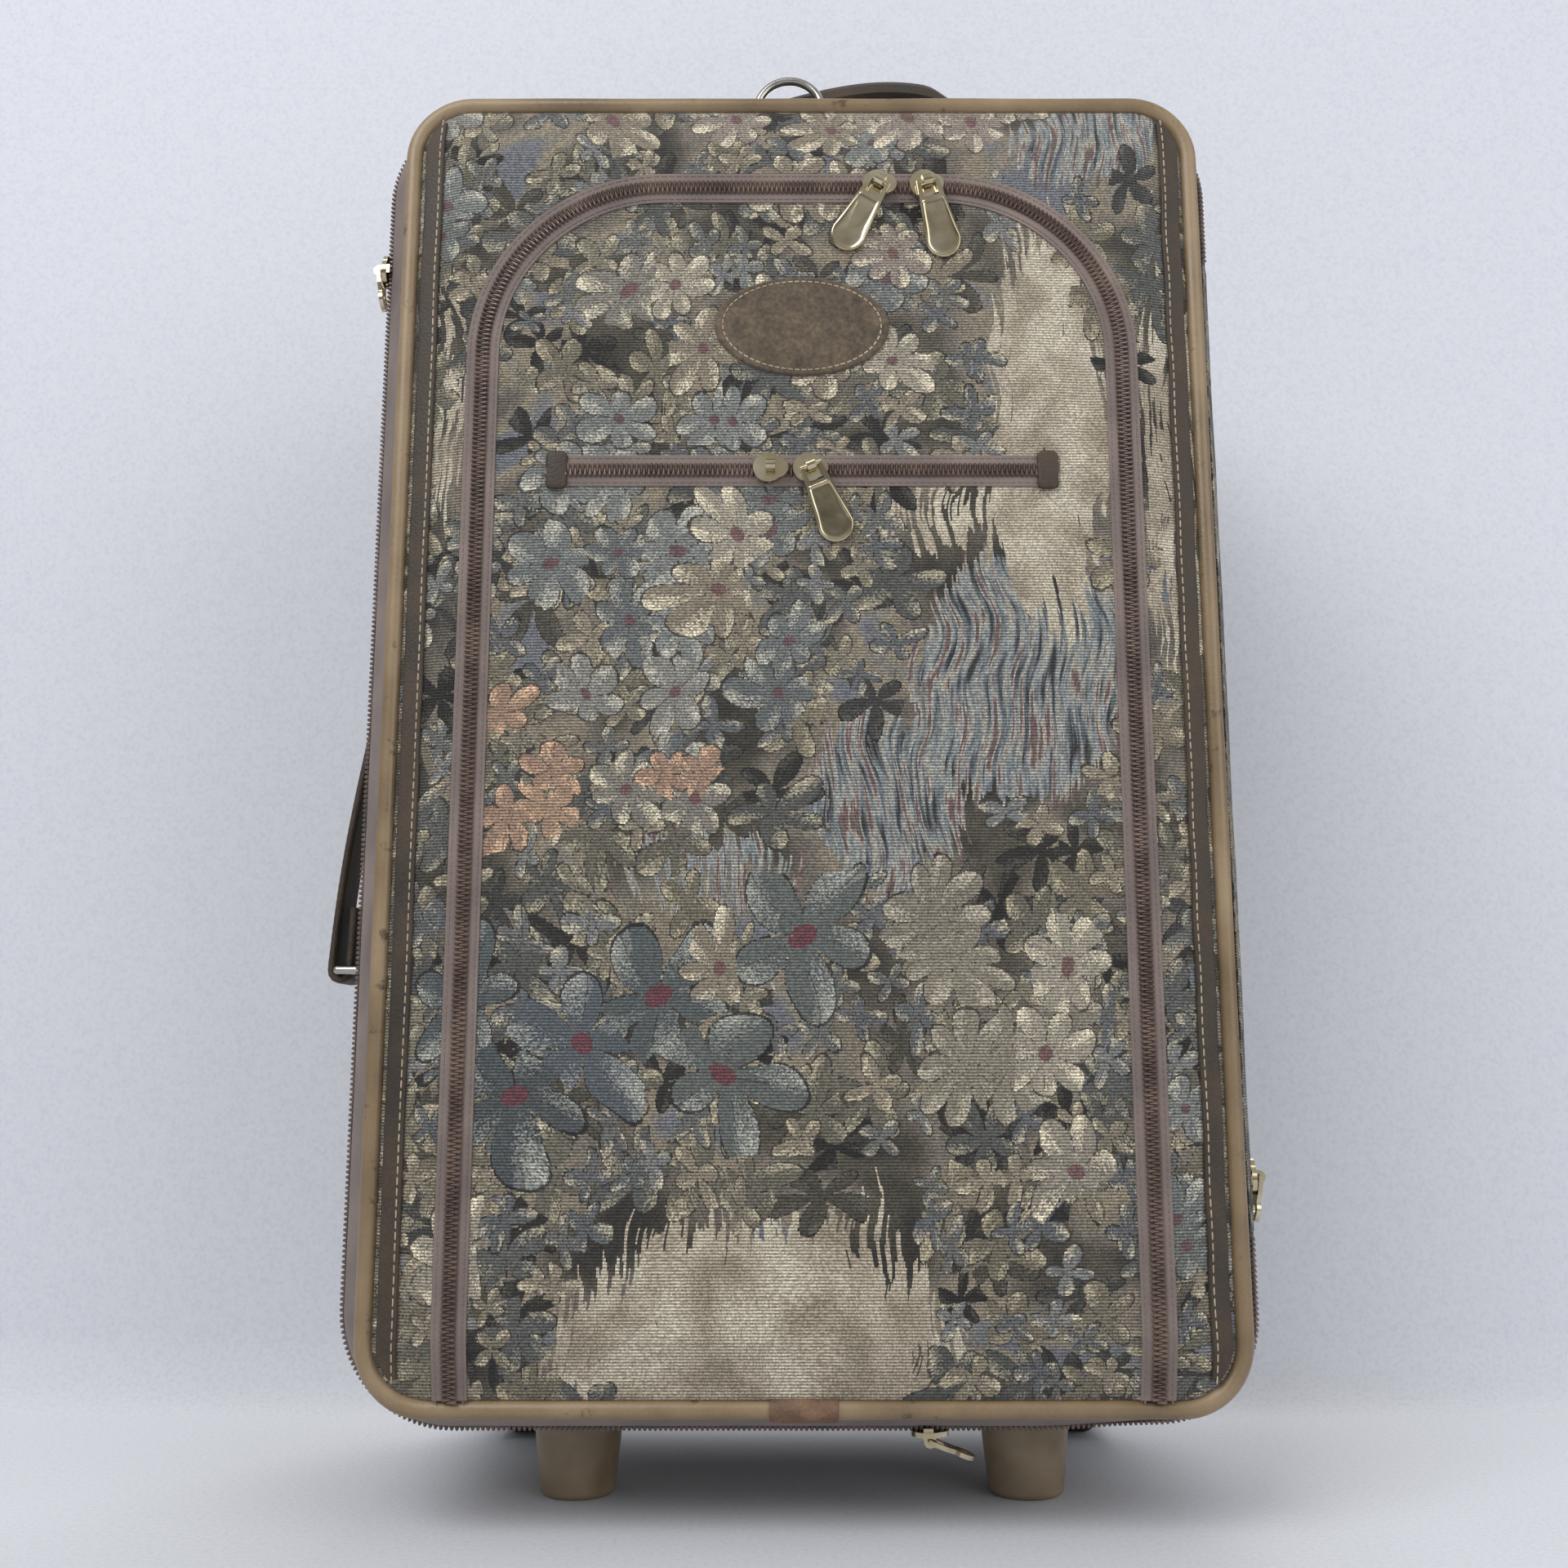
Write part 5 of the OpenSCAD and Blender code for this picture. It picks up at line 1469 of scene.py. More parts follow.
@dataclass
class Case(Assembly):
    """The soft case behind the lid: its cloth, lining, back, zips and hinge."""

    corner: float = 46.0
    wall: float = 4.0
    zip_half: float = 10.0
    zip_turn: float = 30.0
    cloth_t: float = 0.4
    skin: float = 0.5
    puff: float = 1.3
    zip_y: float = field(init=False)
    expansion_y: float = field(init=False)

    def __post_init__(self) -> None:
        """Reads the zips' planes off the frame."""
        self.zip_y, self.expansion_y = (float(np.mean([c[1] for c in self.datum.node_box(n)]))
                                        for n in ("main_zip_coil", "expansion_coil"))

    def outline(self) -> Ring:
        """The outside of the case in the front view."""
        d = self.datum
        return Ring(d.case_x0, d.case_z0, d.case_x1, d.case_z1, self.corner)

    def girth(self) -> Array:
        """The distance round the case at each point of a ring."""
        return lengths(self.outline().points(0.0))

    def skin_rings(self, depths: Sequence[float], grow: Callable[[Array], Array]) -> tuple[list, list]:
        """Gives rings round the case at several depths.

        Args:
            depths: the depth y of each ring.
            grow: how far each point stands out, from its place (girth, y).

        Returns:
            The rings, and the cloth's flat places on each.
        """
        flat, outward = self.outline().walk()
        girth = self.girth()
        rings, cloth = [], []
        for y in depths:
            place = np.column_stack([girth, np.full(len(girth), y)])
            spot = flat + outward * grow(place)[:, None]
            rings.append(at_depth(spot, y))
            # The walls' cloth is cut so that its plants stand upright on both sides
            cloth.append(np.column_stack([place[:, 1] + 600, girth, np.zeros(len(girth))]))
        return rings, cloth

    def on_hinge(self) -> Array:
        """Says which points of a ring lie on the cloth hinge, where the main zip stops."""
        d = self.datum
        flat, _ = self.outline().walk()
        low, high = d.case_z0 + self.corner + self.zip_turn, d.case_z1 - self.corner - self.zip_turn
        return (flat[:, 0] > d.case_x1 - 0.01) & (flat[:, 1] > low) & (flat[:, 1] < high)

    def lid_rings(self, depths: Sequence[float], inside: float = 0.0) -> list[Array]:
        """Gives rings of the lid's edge, which flares from the piping to the zip, and slower along the hinge.

        Args:
            depths: the depth y of each ring.
            inside: how far inside the edge's face they lie.

        Returns:
            One ring for each depth.
        """
        lid, case = self.lid_outline().inset(inside), self.outline().inset(inside)
        soft = self.slow_side()
        rings = []
        for y in depths:
            quick = 0.97 * (max(0.0, y - 8.0) / (self.zip_y - 11.4)) ** 0.9
            slow = max(0.0, y - 8.0) / (self.datum.case_y0 - 8.0)
            share = quick * (1 - soft) + slow * soft
            a, b = lid.points(y), case.points(y)
            rings.append(a + (b - a) * share[:, None])
        return rings

    def slow_side(self) -> Array:
        """Says how slowly the lid's edge flares at each point of a ring: 1 on the hinge's side, else 0."""
        flat, _ = self.outline().walk()
        return smooth_step(90, 150, flat[:, 0])

    def lid_edge(self) -> Piece:
        """Builds the lid's narrow edge from under the piping out to the zip: tape, but cloth along the hinge."""
        girth, hinge = self.girth(), self.on_hinge()
        n = len(girth)
        depths = [6.5, 7.6] + list(np.linspace(8.3, self.zip_y - 3.4, 9))
        lid = self.lid_outline()
        rings = [lid.inset(4.0).points(6.5), lid.inset(1.4).points(7.6)] + self.lid_rings(depths[2:])
        cloth = [np.column_stack([np.full(n, y + 600), girth, np.zeros(n)]) for y in depths]
        shape = loft(rings, cloth=cloth)
        shape.slots = [1 if hinge[f[0] % n] else 0 for f in shape.faces]
        piece = shape.piece("lid_edge_tape", self, ZIP_TAPE, TAPESTRY, angle=60)
        thicken(piece, self.cloth_t)
        return settle(piece, "lid", ["lid_frame", "lid_zip_tape"])

    def lid_lining(self) -> Piece:
        """Builds the lining behind the front, turned up along its edge to the zip's tape."""
        rise = self.lid_rings([self.zip_y - 4.0, self.zip_y - 6.0, self.zip_y - 8.0], 0.9)
        shape = fill(self.lid_outline(), (2.5, 5.0, 12.0, 20.0),
                     lambda flat, inset: 14.8 + 0.4 * (inset < 4) + 0.5 * smooth_noise(flat, 45.0, 51), rise)
        piece = shape.piece("lid_lining", self, LINING, angle=60)
        merge_near(piece, 0.06)
        return settle(piece, "lid")

    def case_cloth(self) -> Piece:
        """Builds the cloth round the case, softly puffed, with openings for the handle's cup and the wheels."""
        d = self.datum
        front = d.case_y0
        depths = np.concatenate([np.arange(front + 0.2, front + 20, 4.0),
                                 np.linspace(front + 22, d.case_y1 - 0.3, 30)])

        def grow(place: Array) -> Array:
            """Stands the cloth off the shell, most between the seams."""
            y = place[:, 1]
            swell = smooth_step(front + 20, front + 64, y) * (1 - smooth_step(165, 212, y))
            soft = 0.75 + 0.25 * smooth_noise(place, 60.0, 31)
            crease = 0.35 * smooth_noise(place, 16.0, 32) * smooth_step(front + 18, front + 34, y)
            return self.skin + self.puff * swell * soft + np.maximum(-0.2, crease * swell)

        rings, cloth = self.skin_rings(depths, grow)
        piece = loft(rings, cloth=cloth).piece("case_cloth", self, TAPESTRY, angle=60)
        cup_low, cup_high = d.node_box("trolley_cup")
        cut_box(piece, d, (cup_low[0] + 3, cup_low[1] + 3, d.case_z1 - 6), (cup_high[0] - 3, cup_high[1] - 3, 700))
        self.cut_wheel_rooms(piece, 171.0, 60.0)
        self.girth()[-1] + 8
        thicken(piece, self.cloth_t)
        return settle(piece, "case")

    def cut_wheel_rooms(self, piece: Piece, front: float, top: float) -> None:
        """Cuts the two wheel housings' windows out of a skin."""
        low, high = self.datum.node_box("wheel_housings")
        width = 36.3
        for x0 in (low[0] - 0.2, high[0] - width + 0.2):
            cut_box(piece, self.datum, (x0, front, 0.0), (x0 + width, 260.0, top))

    def lining(self) -> list[Piece]:
        """Builds the lining of the case's walls and of the board in front of the trolley."""
        d = self.datum
        low, high = d.node_box("inner_lining")
        front = low[1]

        def hang(place: Array) -> Array:
            """Lets the lining hang in soft folds off the wall."""
            fold = 0.5 + 0.5 * smooth_noise(place * (1.0, 0.4), 26.0, 41)
            return -self.wall - 0.3 - 1.2 * fold * smooth_step(d.case_y0 - 2, d.case_y0 + 14, place[:, 1])

        rings, cloth = self.skin_rings(np.concatenate([[d.case_y0 + 0.3, d.case_y0 + 2],
                                                       np.linspace(d.case_y0 + 8, front - 0.2, 18)]), hang)
        walls = loft(rings, cloth=cloth).piece("wall_lining", self, LINING, angle=60)
        inner = self.outline().inset(self.wall)
        board = fill(inner, (0.0, 2.0, 6.0, 14.0, 26.0),
                     lambda flat, inset: front - 0.3 - 1.4 * (0.5 + 0.5 * smooth_noise(flat, 40.0, 44))).piece(
            "back_lining", self, LINING, angle=60)
        merge_near(board, 0.06)
        self.girth()[-1]
        settle(walls, "case")
        return [walls, settle(board, "case", ["inner_lining"])]

    def back(self) -> Piece:
        """Builds the padded cloth back inside the rear piping, notched for the wheels."""
        d = self.datum
        low, high = d.node_box("back_panel")
        back_y = high[1]

        def depth(flat: Array, inset: float) -> Array:
            """Rounds the padding off towards the piping."""
            soft = 0.6 * smooth_noise(flat, 50.0, 61) * smooth_step(2, 20, np.full(len(flat), inset))
            return back_y - 0.4 - np.interp(inset, (0.0, 0.3, 1.6, 4.0, 8.0), (7.0, 3.0, 1.2, 0.2, 0.0)) + soft

        shape = fill(self.outline().inset(7.0), (0.0, 0.3, 1.6, 4.0, 8.0, 16.0, 24.0), depth)
        for flat in shape.cloth:
            flat[:, 0] = 1300 - flat[:, 0]
        piece = shape.piece("back_cloth", self, TAPESTRY, angle=60)
        merge_near(piece, 0.06)
        self.cut_wheel_rooms(piece, 150.0, 52.4)
        thicken(piece, 1.0)
        return settle(piece, "case", ["back_panel"])

    def main_zip(self) -> None:
        """Builds the main zip, whose front tape and teeth open with the lid, and the expansion zip."""
        d = self.datum
        flat, outward = self.outline().walk()
        on_hinge = self.on_hinge()
        first = (np.flatnonzero(on_hinge)[-1] + 1) % len(flat)
        order = [(first + i) % len(flat) for i in range(len(flat)) if not on_hinge[(first + i) % len(flat)]]
        up = np.column_stack([outward[:, 0], np.zeros(len(flat)), outward[:, 1]])
        tape_t = 0.8
        # Where the edge flares slowly the zip lies further in, and leans with it
        slow = self.slow_side()
        run = (self.zip_y - 8.0) / (d.case_y0 - 8.0)
        lean = slow * math.atan2(d.case_x1 - d.panel_w / 2, d.case_y0 - 8.0)
        front, rear = self.lid_outline().points(self.zip_y), self.outline().points(self.zip_y)
        at = front + (rear - front) * (1 - slow * (1 - run))[:, None]
        tilted = up * np.cos(lean)[:, None] - np.sin(lean)[:, None] * np.array([0.0, 1.0, 0.0])
        main = Zip("main", (at - tilted * tape_t)[order], tilted[order], tape_w=2 * self.zip_half, sink=-0.05)
        path, ups = main.at(50.0)
        _, across = main.axes(path, ups)
        lid_side = -1 if across[0][1] > 0 else 1
        # The lid's tape is its edge, which is built by itself
        for side, body, tape_node, tooth_nodes in ((lid_side, "lid", "", []),
                                                  (-lid_side, "case", "main_zip_tape", ["main_zip_coil"])):
            teeth = main.teeth((side,)).piece(body + "_main_zip_teeth", self, ZIP_COIL)
            settle(teeth, body, tooth_nodes)
            if tape_node:
                tape = main.tapes((side,)).piece(body + "_main_zip_tape", self, ZIP_TAPE)
                seam = main.seams((side,)).piece(body + "_main_zip_stitches", self, ZIP_TAPE)
                settle(tape, body, [tape_node])
                settle(seam, body)
        ring = at_depth(flat, self.expansion_y)
        grow = Zip("expansion", ring, up, closed=True)
        for part, finish, slot, nodes in (("tapes", ZIP_TAPE, "zip_tape", ["expansion_tape"]),
                                          ("teeth", ZIP_COIL, "zip_coil", ["expansion_coil"]),
                                          ("seams", ZIP_TAPE, "zip_tape", [])):
            shape: Shape = getattr(grow, part)()
            settle(shape.piece("expansion_zip_" + part, self, finish), "case", nodes)

    def hinge(self) -> Piece:
        """Builds the cloth hinge on the right, between the case and the lid."""
        d = self.datum
        low, high = d.node_box("hinge_strip")
        x = d.case_x1 + self.skin + 0.3
        ys = np.linspace(self.zip_y - 5.0, self.zip_y + self.zip_half + 1.5, 26)
        zs = np.linspace(low[2] - 1.0, high[2] + 1.0, 90)
        gy, gz = (g.ravel() for g in np.meshgrid(ys, zs))
        soft = 0.25 * smooth_noise(np.column_stack([gy, gz]), 30.0, 71)
        cloth = np.column_stack([gy + 600, gz + 900, np.zeros(len(gy))])
        # It carries on the slow flare of the lid's edge
        gap = (d.case_x1 - d.panel_w / 2) * np.clip((d.case_y0 - gy) / (d.case_y0 - 8.0), 0, 1)
        shape = Shape().add(np.column_stack([x + soft - gap, gy, gz]), strip_faces(len(zs), len(ys)), cloth=cloth)
        piece = shape.piece("hinge_cloth", self, TAPESTRY, angle=60)
        thicken(piece, 0.6)
        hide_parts("hinge_strip")
        ends = d.world([[x, self.zip_y - 3.5, 300.0], [x, self.zip_y + 6.0, 300.0]])
        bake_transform(piece)
        LOG.info("%s bends between lid and case", piece.name)
        return piece

    def build(self) -> None:
        """Builds every piece of the case."""
        self.lid_edge()
        self.lid_lining()
        self.case_cloth()
        self.lining()
        self.back()
        self.main_zip()
        self.hinge()


def strap(path: Array, width_axis: Sequence[float], outline: Array) -> Shape:
    """Sweeps a strap along a path, with its width along a fixed axis.

    Args:
        path: points along its middle.
        width_axis: the direction of its width.
        outline: its section, width first.

    Returns:
        A closed shape.
    """
    along = directions(path)
    up = np.cross(width_axis, along)
    return sweep(path, width_axis, up / np.linalg.norm(up, axis=1, keepdims=True), outline)


def stitch_row(path: Array, width_axis: Sequence[float], pitch: float = 4.0, r: float = 0.36) -> Shape:
    """Lays a row of stitches along a path.

    Args:
        path: the seam, on the surface.
        width_axis: a direction across it.
        pitch: a stitch and its gap.
        r: the thread's radius.

    Returns:
        The stitches.
    """
    spots = resample(path, pitch)
    along = directions(spots)
    return scatter(capsule(pitch * 0.74, r), spots, along, width_axis, np.cross(along, width_axis))


@dataclass
class Handles(Assembly):
    """The leather carry handles on the top and the left side, and the leather that holds the D-ring."""

    strap_t: float = 4.0
    peak: float = 1.9
    grip_grow: float = 4.0
    fold_r: float = 4.3
    fold_out: float = 6.3
    pad_size: float = 34.0
    sleeve_r: float = 3.9

    def finish_pair(self, name: str, leather: Shape, thread: Shape, nodes: Sequence[str]) -> None:
        """Makes a leather piece and its stitches, both on the case."""
        settle(leather.piece(name, self, LEATHER), "case", nodes)
        if thread.count:
            settle(thread.piece(name + "_stitches", self, THREAD), "case")

    def top(self) -> None:
        """Builds the top handle: a strap arched a little to the right, with a padded grip on its middle."""
        d = self.datum
        low, high = d.node_box("top_handle_strap")
        grip_low, grip_high = d.node_box("top_handle_grip")
        y, width = (low[1] + high[1]) / 2, high[1] - low[1]
        t = np.linspace(0, 1, 90)
        rise = high[2] - low[2] - self.strap_t
        xs = low[0] + (high[0] - low[0]) * t
        zs = low[2] + self.strap_t / 2 + rise * np.sin(math.pi * t ** self.peak) ** 0.8
        path = resample(np.column_stack([xs, np.full(90, y), zs]), 3.5)
        width_axis = (0.0, 1.0, 0.0)
        self.finish_pair("top_handle_leather", strap(path, width_axis, strap_profile(width, self.strap_t)), Shape(),
                         ["top_handle_strap"])
        middle = path[(path[:, 0] > grip_low[0]) & (path[:, 0] < grip_high[0])]
        n = len(middle)
        end = smooth_step(0, 5, np.minimum(np.arange(n), n - 1 - np.arange(n)).astype(float))
        section = strap_profile(width + 2 * self.grip_grow, self.strap_t + 2 * self.grip_grow, 0.6)
        slim = np.stack([0.8 + 0.2 * end, 0.45 + 0.55 * end], axis=1)
        grip = strap(middle, width_axis, section[None] * slim[:, None, :])
        seams = Shape()
        for side in (-1, 1):
            edge = middle + np.array([0, side * (width / 2 + self.grip_grow - 4.0), 0])
            up = np.cross(width_axis, directions(middle))
            seams.join(stitch_row(edge[3:-3] + up[3:-3] * (self.strap_t / 2 + self.grip_grow + 0.25), width_axis))
        self.finish_pair("top_handle_padded_grip", grip, seams, ["top_handle_grip"])
        self.pads("top_handle_anchor_pads", "top_handle_anchors")

    def pad(self, origin: Sequence[float], across: Sequence[float], along: Sequence[float],
            thick: float) -> tuple[Shape, Shape]:
        """Makes a square sewn leather pad.

        Args:
            origin: its corner, on the cloth.
            across, along: the directions of its sides.
            thick: how far it stands out.

        Returns:
            The leather and the thread.
        """
        axes = np.array([across, along, np.cross(across, along)], float)
        block = cushion_block((0, -thick, 0), (self.pad_size, 0, self.pad_size), 0.9)
        for patch in block.points:
            patch[:] = np.array(origin) + np.column_stack([patch[:, 0], patch[:, 2], -patch[:, 1]]) @ axes
        inner = Ring(3, 3, self.pad_size - 3, self.pad_size - 3, 3.0).points(0.0)
        seam = np.array(origin) + (inner[:, [0, 2, 1]] + (0, 0, thick + 0.05)) @ axes
        spots = resample(seam, 3.6, True)
        ahead = directions(spots, True)
        return block, scatter(capsule(2.6, 0.36), spots, ahead, np.cross(axes[2], ahead), axes[2])

    def pads(self, name: str, node: str) -> None:
        """Builds the two sewn pads that hold the top handle."""
        low, high = self.datum.node_box(node)
        leather, thread = Shape(), Shape()
        for x0 in (low[0], high[0] - self.pad_size):
            block, stitches = self.pad((x0, low[1], low[2]), (1, 0, 0), (0, 1, 0), high[2] - low[2])
            leather.join(block)
            thread.join(stitches)
        self.finish_pair(name, leather, thread, [node])

    def side_pads(self) -> None:
        """Builds the sewn pads and folded sleeves that hold the side handle's two loops."""
        d = self.datum
        low, high = d.node_box("side_handle_anchors")
        mid_y = (low[1] + high[1]) / 2
        wall, thick, sleeve_t = d.case_x0, 3.0, 1.5
        leather, thread = Shape(), Shape()
        turn = np.radians(np.linspace(90, 270, 17))
        r = self.sleeve_r - sleeve_t / 2
        for z0, bar_z in ((low[2], low[2] + self.pad_size - self.sleeve_r),
                          (high[2] - self.pad_size, high[2] - self.pad_size + self.sleeve_r)):
            block, stitches = self.pad((wall, mid_y + self.pad_size / 2, z0), (0, -1, 0), (0, 0, 1), thick)
            leather.join(block)
            thread.join(stitches)
            bar_x = wall - thick - self.sleeve_r
            bend = np.column_stack([bar_x + r * np.cos(turn), bar_z + r * np.sin(turn)])
            flat = np.vstack([[[wall - 1.0, bar_z + r]], bend, [[wall - 1.0, bar_z - r]]])
            path = resample(at_depth(flat, mid_y), 1.2)
            leather.join(strap(path, (0.0, 1.0, 0.0), strap_profile(26.0, sleeve_t)))
        self.finish_pair("side_handle_pads", leather, thread, ["side_handle_anchors"])

    def side(self) -> None:
        """Builds the side handle: a strap folded round both loops, standing out at its lower end."""
        d = self.datum
        low, high = d.node_box("side_handle_strap")
        y, width = (low[1] + high[1]) / 2, high[1] - low[1]
        fold_x, low_z = low[0] + self.fold_out, low[2] + self.fold_out
        bar_x, high_z = high[0] - self.fold_out, high[2] - self.fold_out
        turn = np.radians(np.linspace(0, 180, 13))
        over = np.column_stack([bar_x + self.fold_r * np.cos(turn), high_z + self.fold_r * np.sin(turn)])
        under = np.column_stack([fold_x - self.fold_r * np.cos(turn), low_z - self.fold_r * np.sin(turn)])
        t = np.linspace(0, 1, 40)[1:-1]
        run = over[-1] + (under[0] - over[-1]) * t[:, None]
        run[:, 0] -= 3.0 * np.sin(math.pi * t ** 1.4)
        tail = np.array([[under[-1][0] + 0.4, low_z + 12], [under[-1][0] + 1.0, low_z + 30]])
        head = np.array([[over[0][0] - 0.6, high_z - 26], [over[0][0], high_z - 10]])
        flat = resample(np.vstack([head, over, run, under, tail]), 2.2)
        path = at_depth(flat, y)
        thick = self.strap_t - 0.4
        leather = strap(path, (0.0, 1.0, 0.0), strap_profile(width, thick))
        face = np.column_stack([run[:, 0] - thick / 2 - 0.15, np.full(len(run), y), run[:, 1]])
        thread = Shape()
        for side in (-1, 1):
            thread.join(stitch_row(face + (0, side * (width / 2 - 3.0), 0), (0.0, 1.0, 0.0)))
        self.finish_pair("side_handle_leather", leather, thread, ["side_handle_strap"])

    def chape(self) -> None:
        """Builds the leather loop that holds the D-ring's bar."""
        d = self.datum
        low, high = d.node_box("ring_chape")
        mid_y = (low[1] + high[1]) / 2
        x, width = (low[0] + high[0]) / 2, high[0] - low[0]
        thick = 1.5
        r = (high[1] - low[1]) / 2 - thick / 2
        turn = np.radians(np.linspace(0, 180, 17))
        arch = np.column_stack([mid_y + r * np.cos(turn), high[2] - r - thick / 2 + r * np.sin(turn)])
        flat = np.vstack([[[arch[0][0], low[2] + 0.2]], arch, [[arch[-1][0], low[2] + 0.2]]])
        path = resample(np.column_stack([np.full(len(flat), x), flat[:, 0], flat[:, 1]]), 1.2)
        leather = strap(path, (1.0, 0.0, 0.0), strap_profile(width, thick))
        self.finish_pair("ring_leather_loop", leather, Shape(), ["ring_chape"])

    def build(self) -> None:
        """Builds both handles and the ring's loop."""
        self.top()
        self.side()
        self.side_pads()
        self.chape()


# Finishes of the CAD nodes that stay in view
KEPT: tuple[tuple[Any, tuple[str, ...]], ...] = (
    (BRASS, ("pocket_slider_left", "pocket_pull_left", "pocket_slider_right", "pocket_pull_right",
             "slip_slider_left", "slip_slider_right", "slip_pull", "side_slider", "side_pull", "bottom_slider",
             "bottom_pull", "expansion_slider", "expansion_pull")),
    (NICKEL, ("d_ring", "side_handle_loops", "axles", "foot_screws", "lock_pins")),
    (ALUMINIUM, ("outer_tubes", "inner_tubes")),
    (PLASTIC, ("trolley_cup", "tube_sockets", "trolley_grip", "release_button", "wheel_housings",
               "wheel_hub_left", "wheel_hub_right")),
    (RUBBER, ("tyre_left", "tyre_right")),
    (FOOT_PLASTIC, ("feet",)),
    (LINING, ("case_shell",)),
    (PIPING, ("rear_piping",)),
)


@dataclass
class Hardware(Assembly):
    """The moulded and metal pieces, which keep their CAD shapes with softened edges."""

    nodes: dict[str, Piece]
    joints: dict[str, dict]
    edge: float = 0.35
    pull_l: float = 35.0
    pull_w: float = 15.5
    pull_t: float = 1.8
    pull_tilt: float = 9.4
    window_l: float = 8.2

    def pull_face(self, pull: str) -> Piece:
        """Builds the stamped face of a long pull: a rolled rim round a low dome.

        Args:
            pull: the pull's node, whose hinge gives the place of its bar.

        Returns:
            The face, which moves with the pull.
        """
        joint = self.joints[pull + "_flip"]
        bar = np.array(joint["pos_m"]) / MM - (self.datum.x, self.datum.y, 0)
        across = -np.array(joint["axis"])
        cloth_out = np.array([0.0, -1.0, 0.0])
        lean = math.radians(self.pull_tilt)
        flat_up = np.cross(cloth_out, across)
        up = flat_up * math.cos(lean) + cloth_out * math.sin(lean)
        out = np.cross(across, up)
        r = self.pull_w / 2
        low = self.pull_l - r
        arc = np.radians(np.linspace(0, -180, 41))
        outline = np.vstack([[[4.4, -self.window_l], [4.9, -self.window_l - 0.6]],
                             np.column_stack([r * np.cos(arc), -low + r * np.sin(arc)]),
                             [[-4.9, -self.window_l - 0.6], [-4.4, -self.window_l]]])
        outline = resample(np.column_stack([outline, np.zeros(len(outline))]), 0.8, True)[:, :2]
        middle = np.array([0.0, -low + 3.5])
        rings = []
        for inset, proud in ((0.1, -0.3), (0.15, 0.2), (0.4, 0.5), (0.8, 0.62), (1.2, 0.56), (1.6, 0.44),
                             (2.6, 0.42), (4.2, 0.46), (5.4, 0.5), (6.8, 0.52)):
            reach = np.linalg.norm(outline - middle, axis=1)
            spot = middle + (outline - middle) * (1 - inset / np.maximum(reach, 7.4))[:, None]
            rings.append(bar + spot[:, :1] * across + spot[:, 1:] * up + out * (self.pull_t / 2 + proud))
        shape = loft(rings, caps=(len(rings) - 1,))
        piece = shape.piece(pull + "_face", self, BRASS, angle=50)
        return settle(piece, pull)

    def spring(self) -> Piece:
        """Builds the button's spring from a copy of its CAD node."""
        node = self.nodes["button_spring"]
        piece = bpy.data.objects.new("button_coil_spring", node.data.copy())
        bpy.context.scene.collection.objects.link(piece)
        piece.matrix_world = node.matrix_world.copy()
        self.finishes.dress(piece, NICKEL)
        settle(piece, "trolley", ["button_spring"])
        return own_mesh(piece)

    def build(self) -> None:
        """Dresses each node that is still in view, and adds the spring and the long pulls' faces."""
        self.spring()
        for pull in ("pocket_pull_left", "pocket_pull_right", "slip_pull"):
            self.pull_face(pull)
        for finish, names in KEPT:
            for name in names:
                node = self.nodes[name]
                self.finishes.dress(node, finish)
                if finish in (BRASS, PLASTIC, FOOT_PLASTIC):
                    bevel = node.modifiers.new("softened_edges", "BEVEL")
                    bevel.width = self.edge * MM
                    bevel.segments = 2
                    bevel.limit_method = "ANGLE"
                    bevel.angle_limit = math.radians(40)


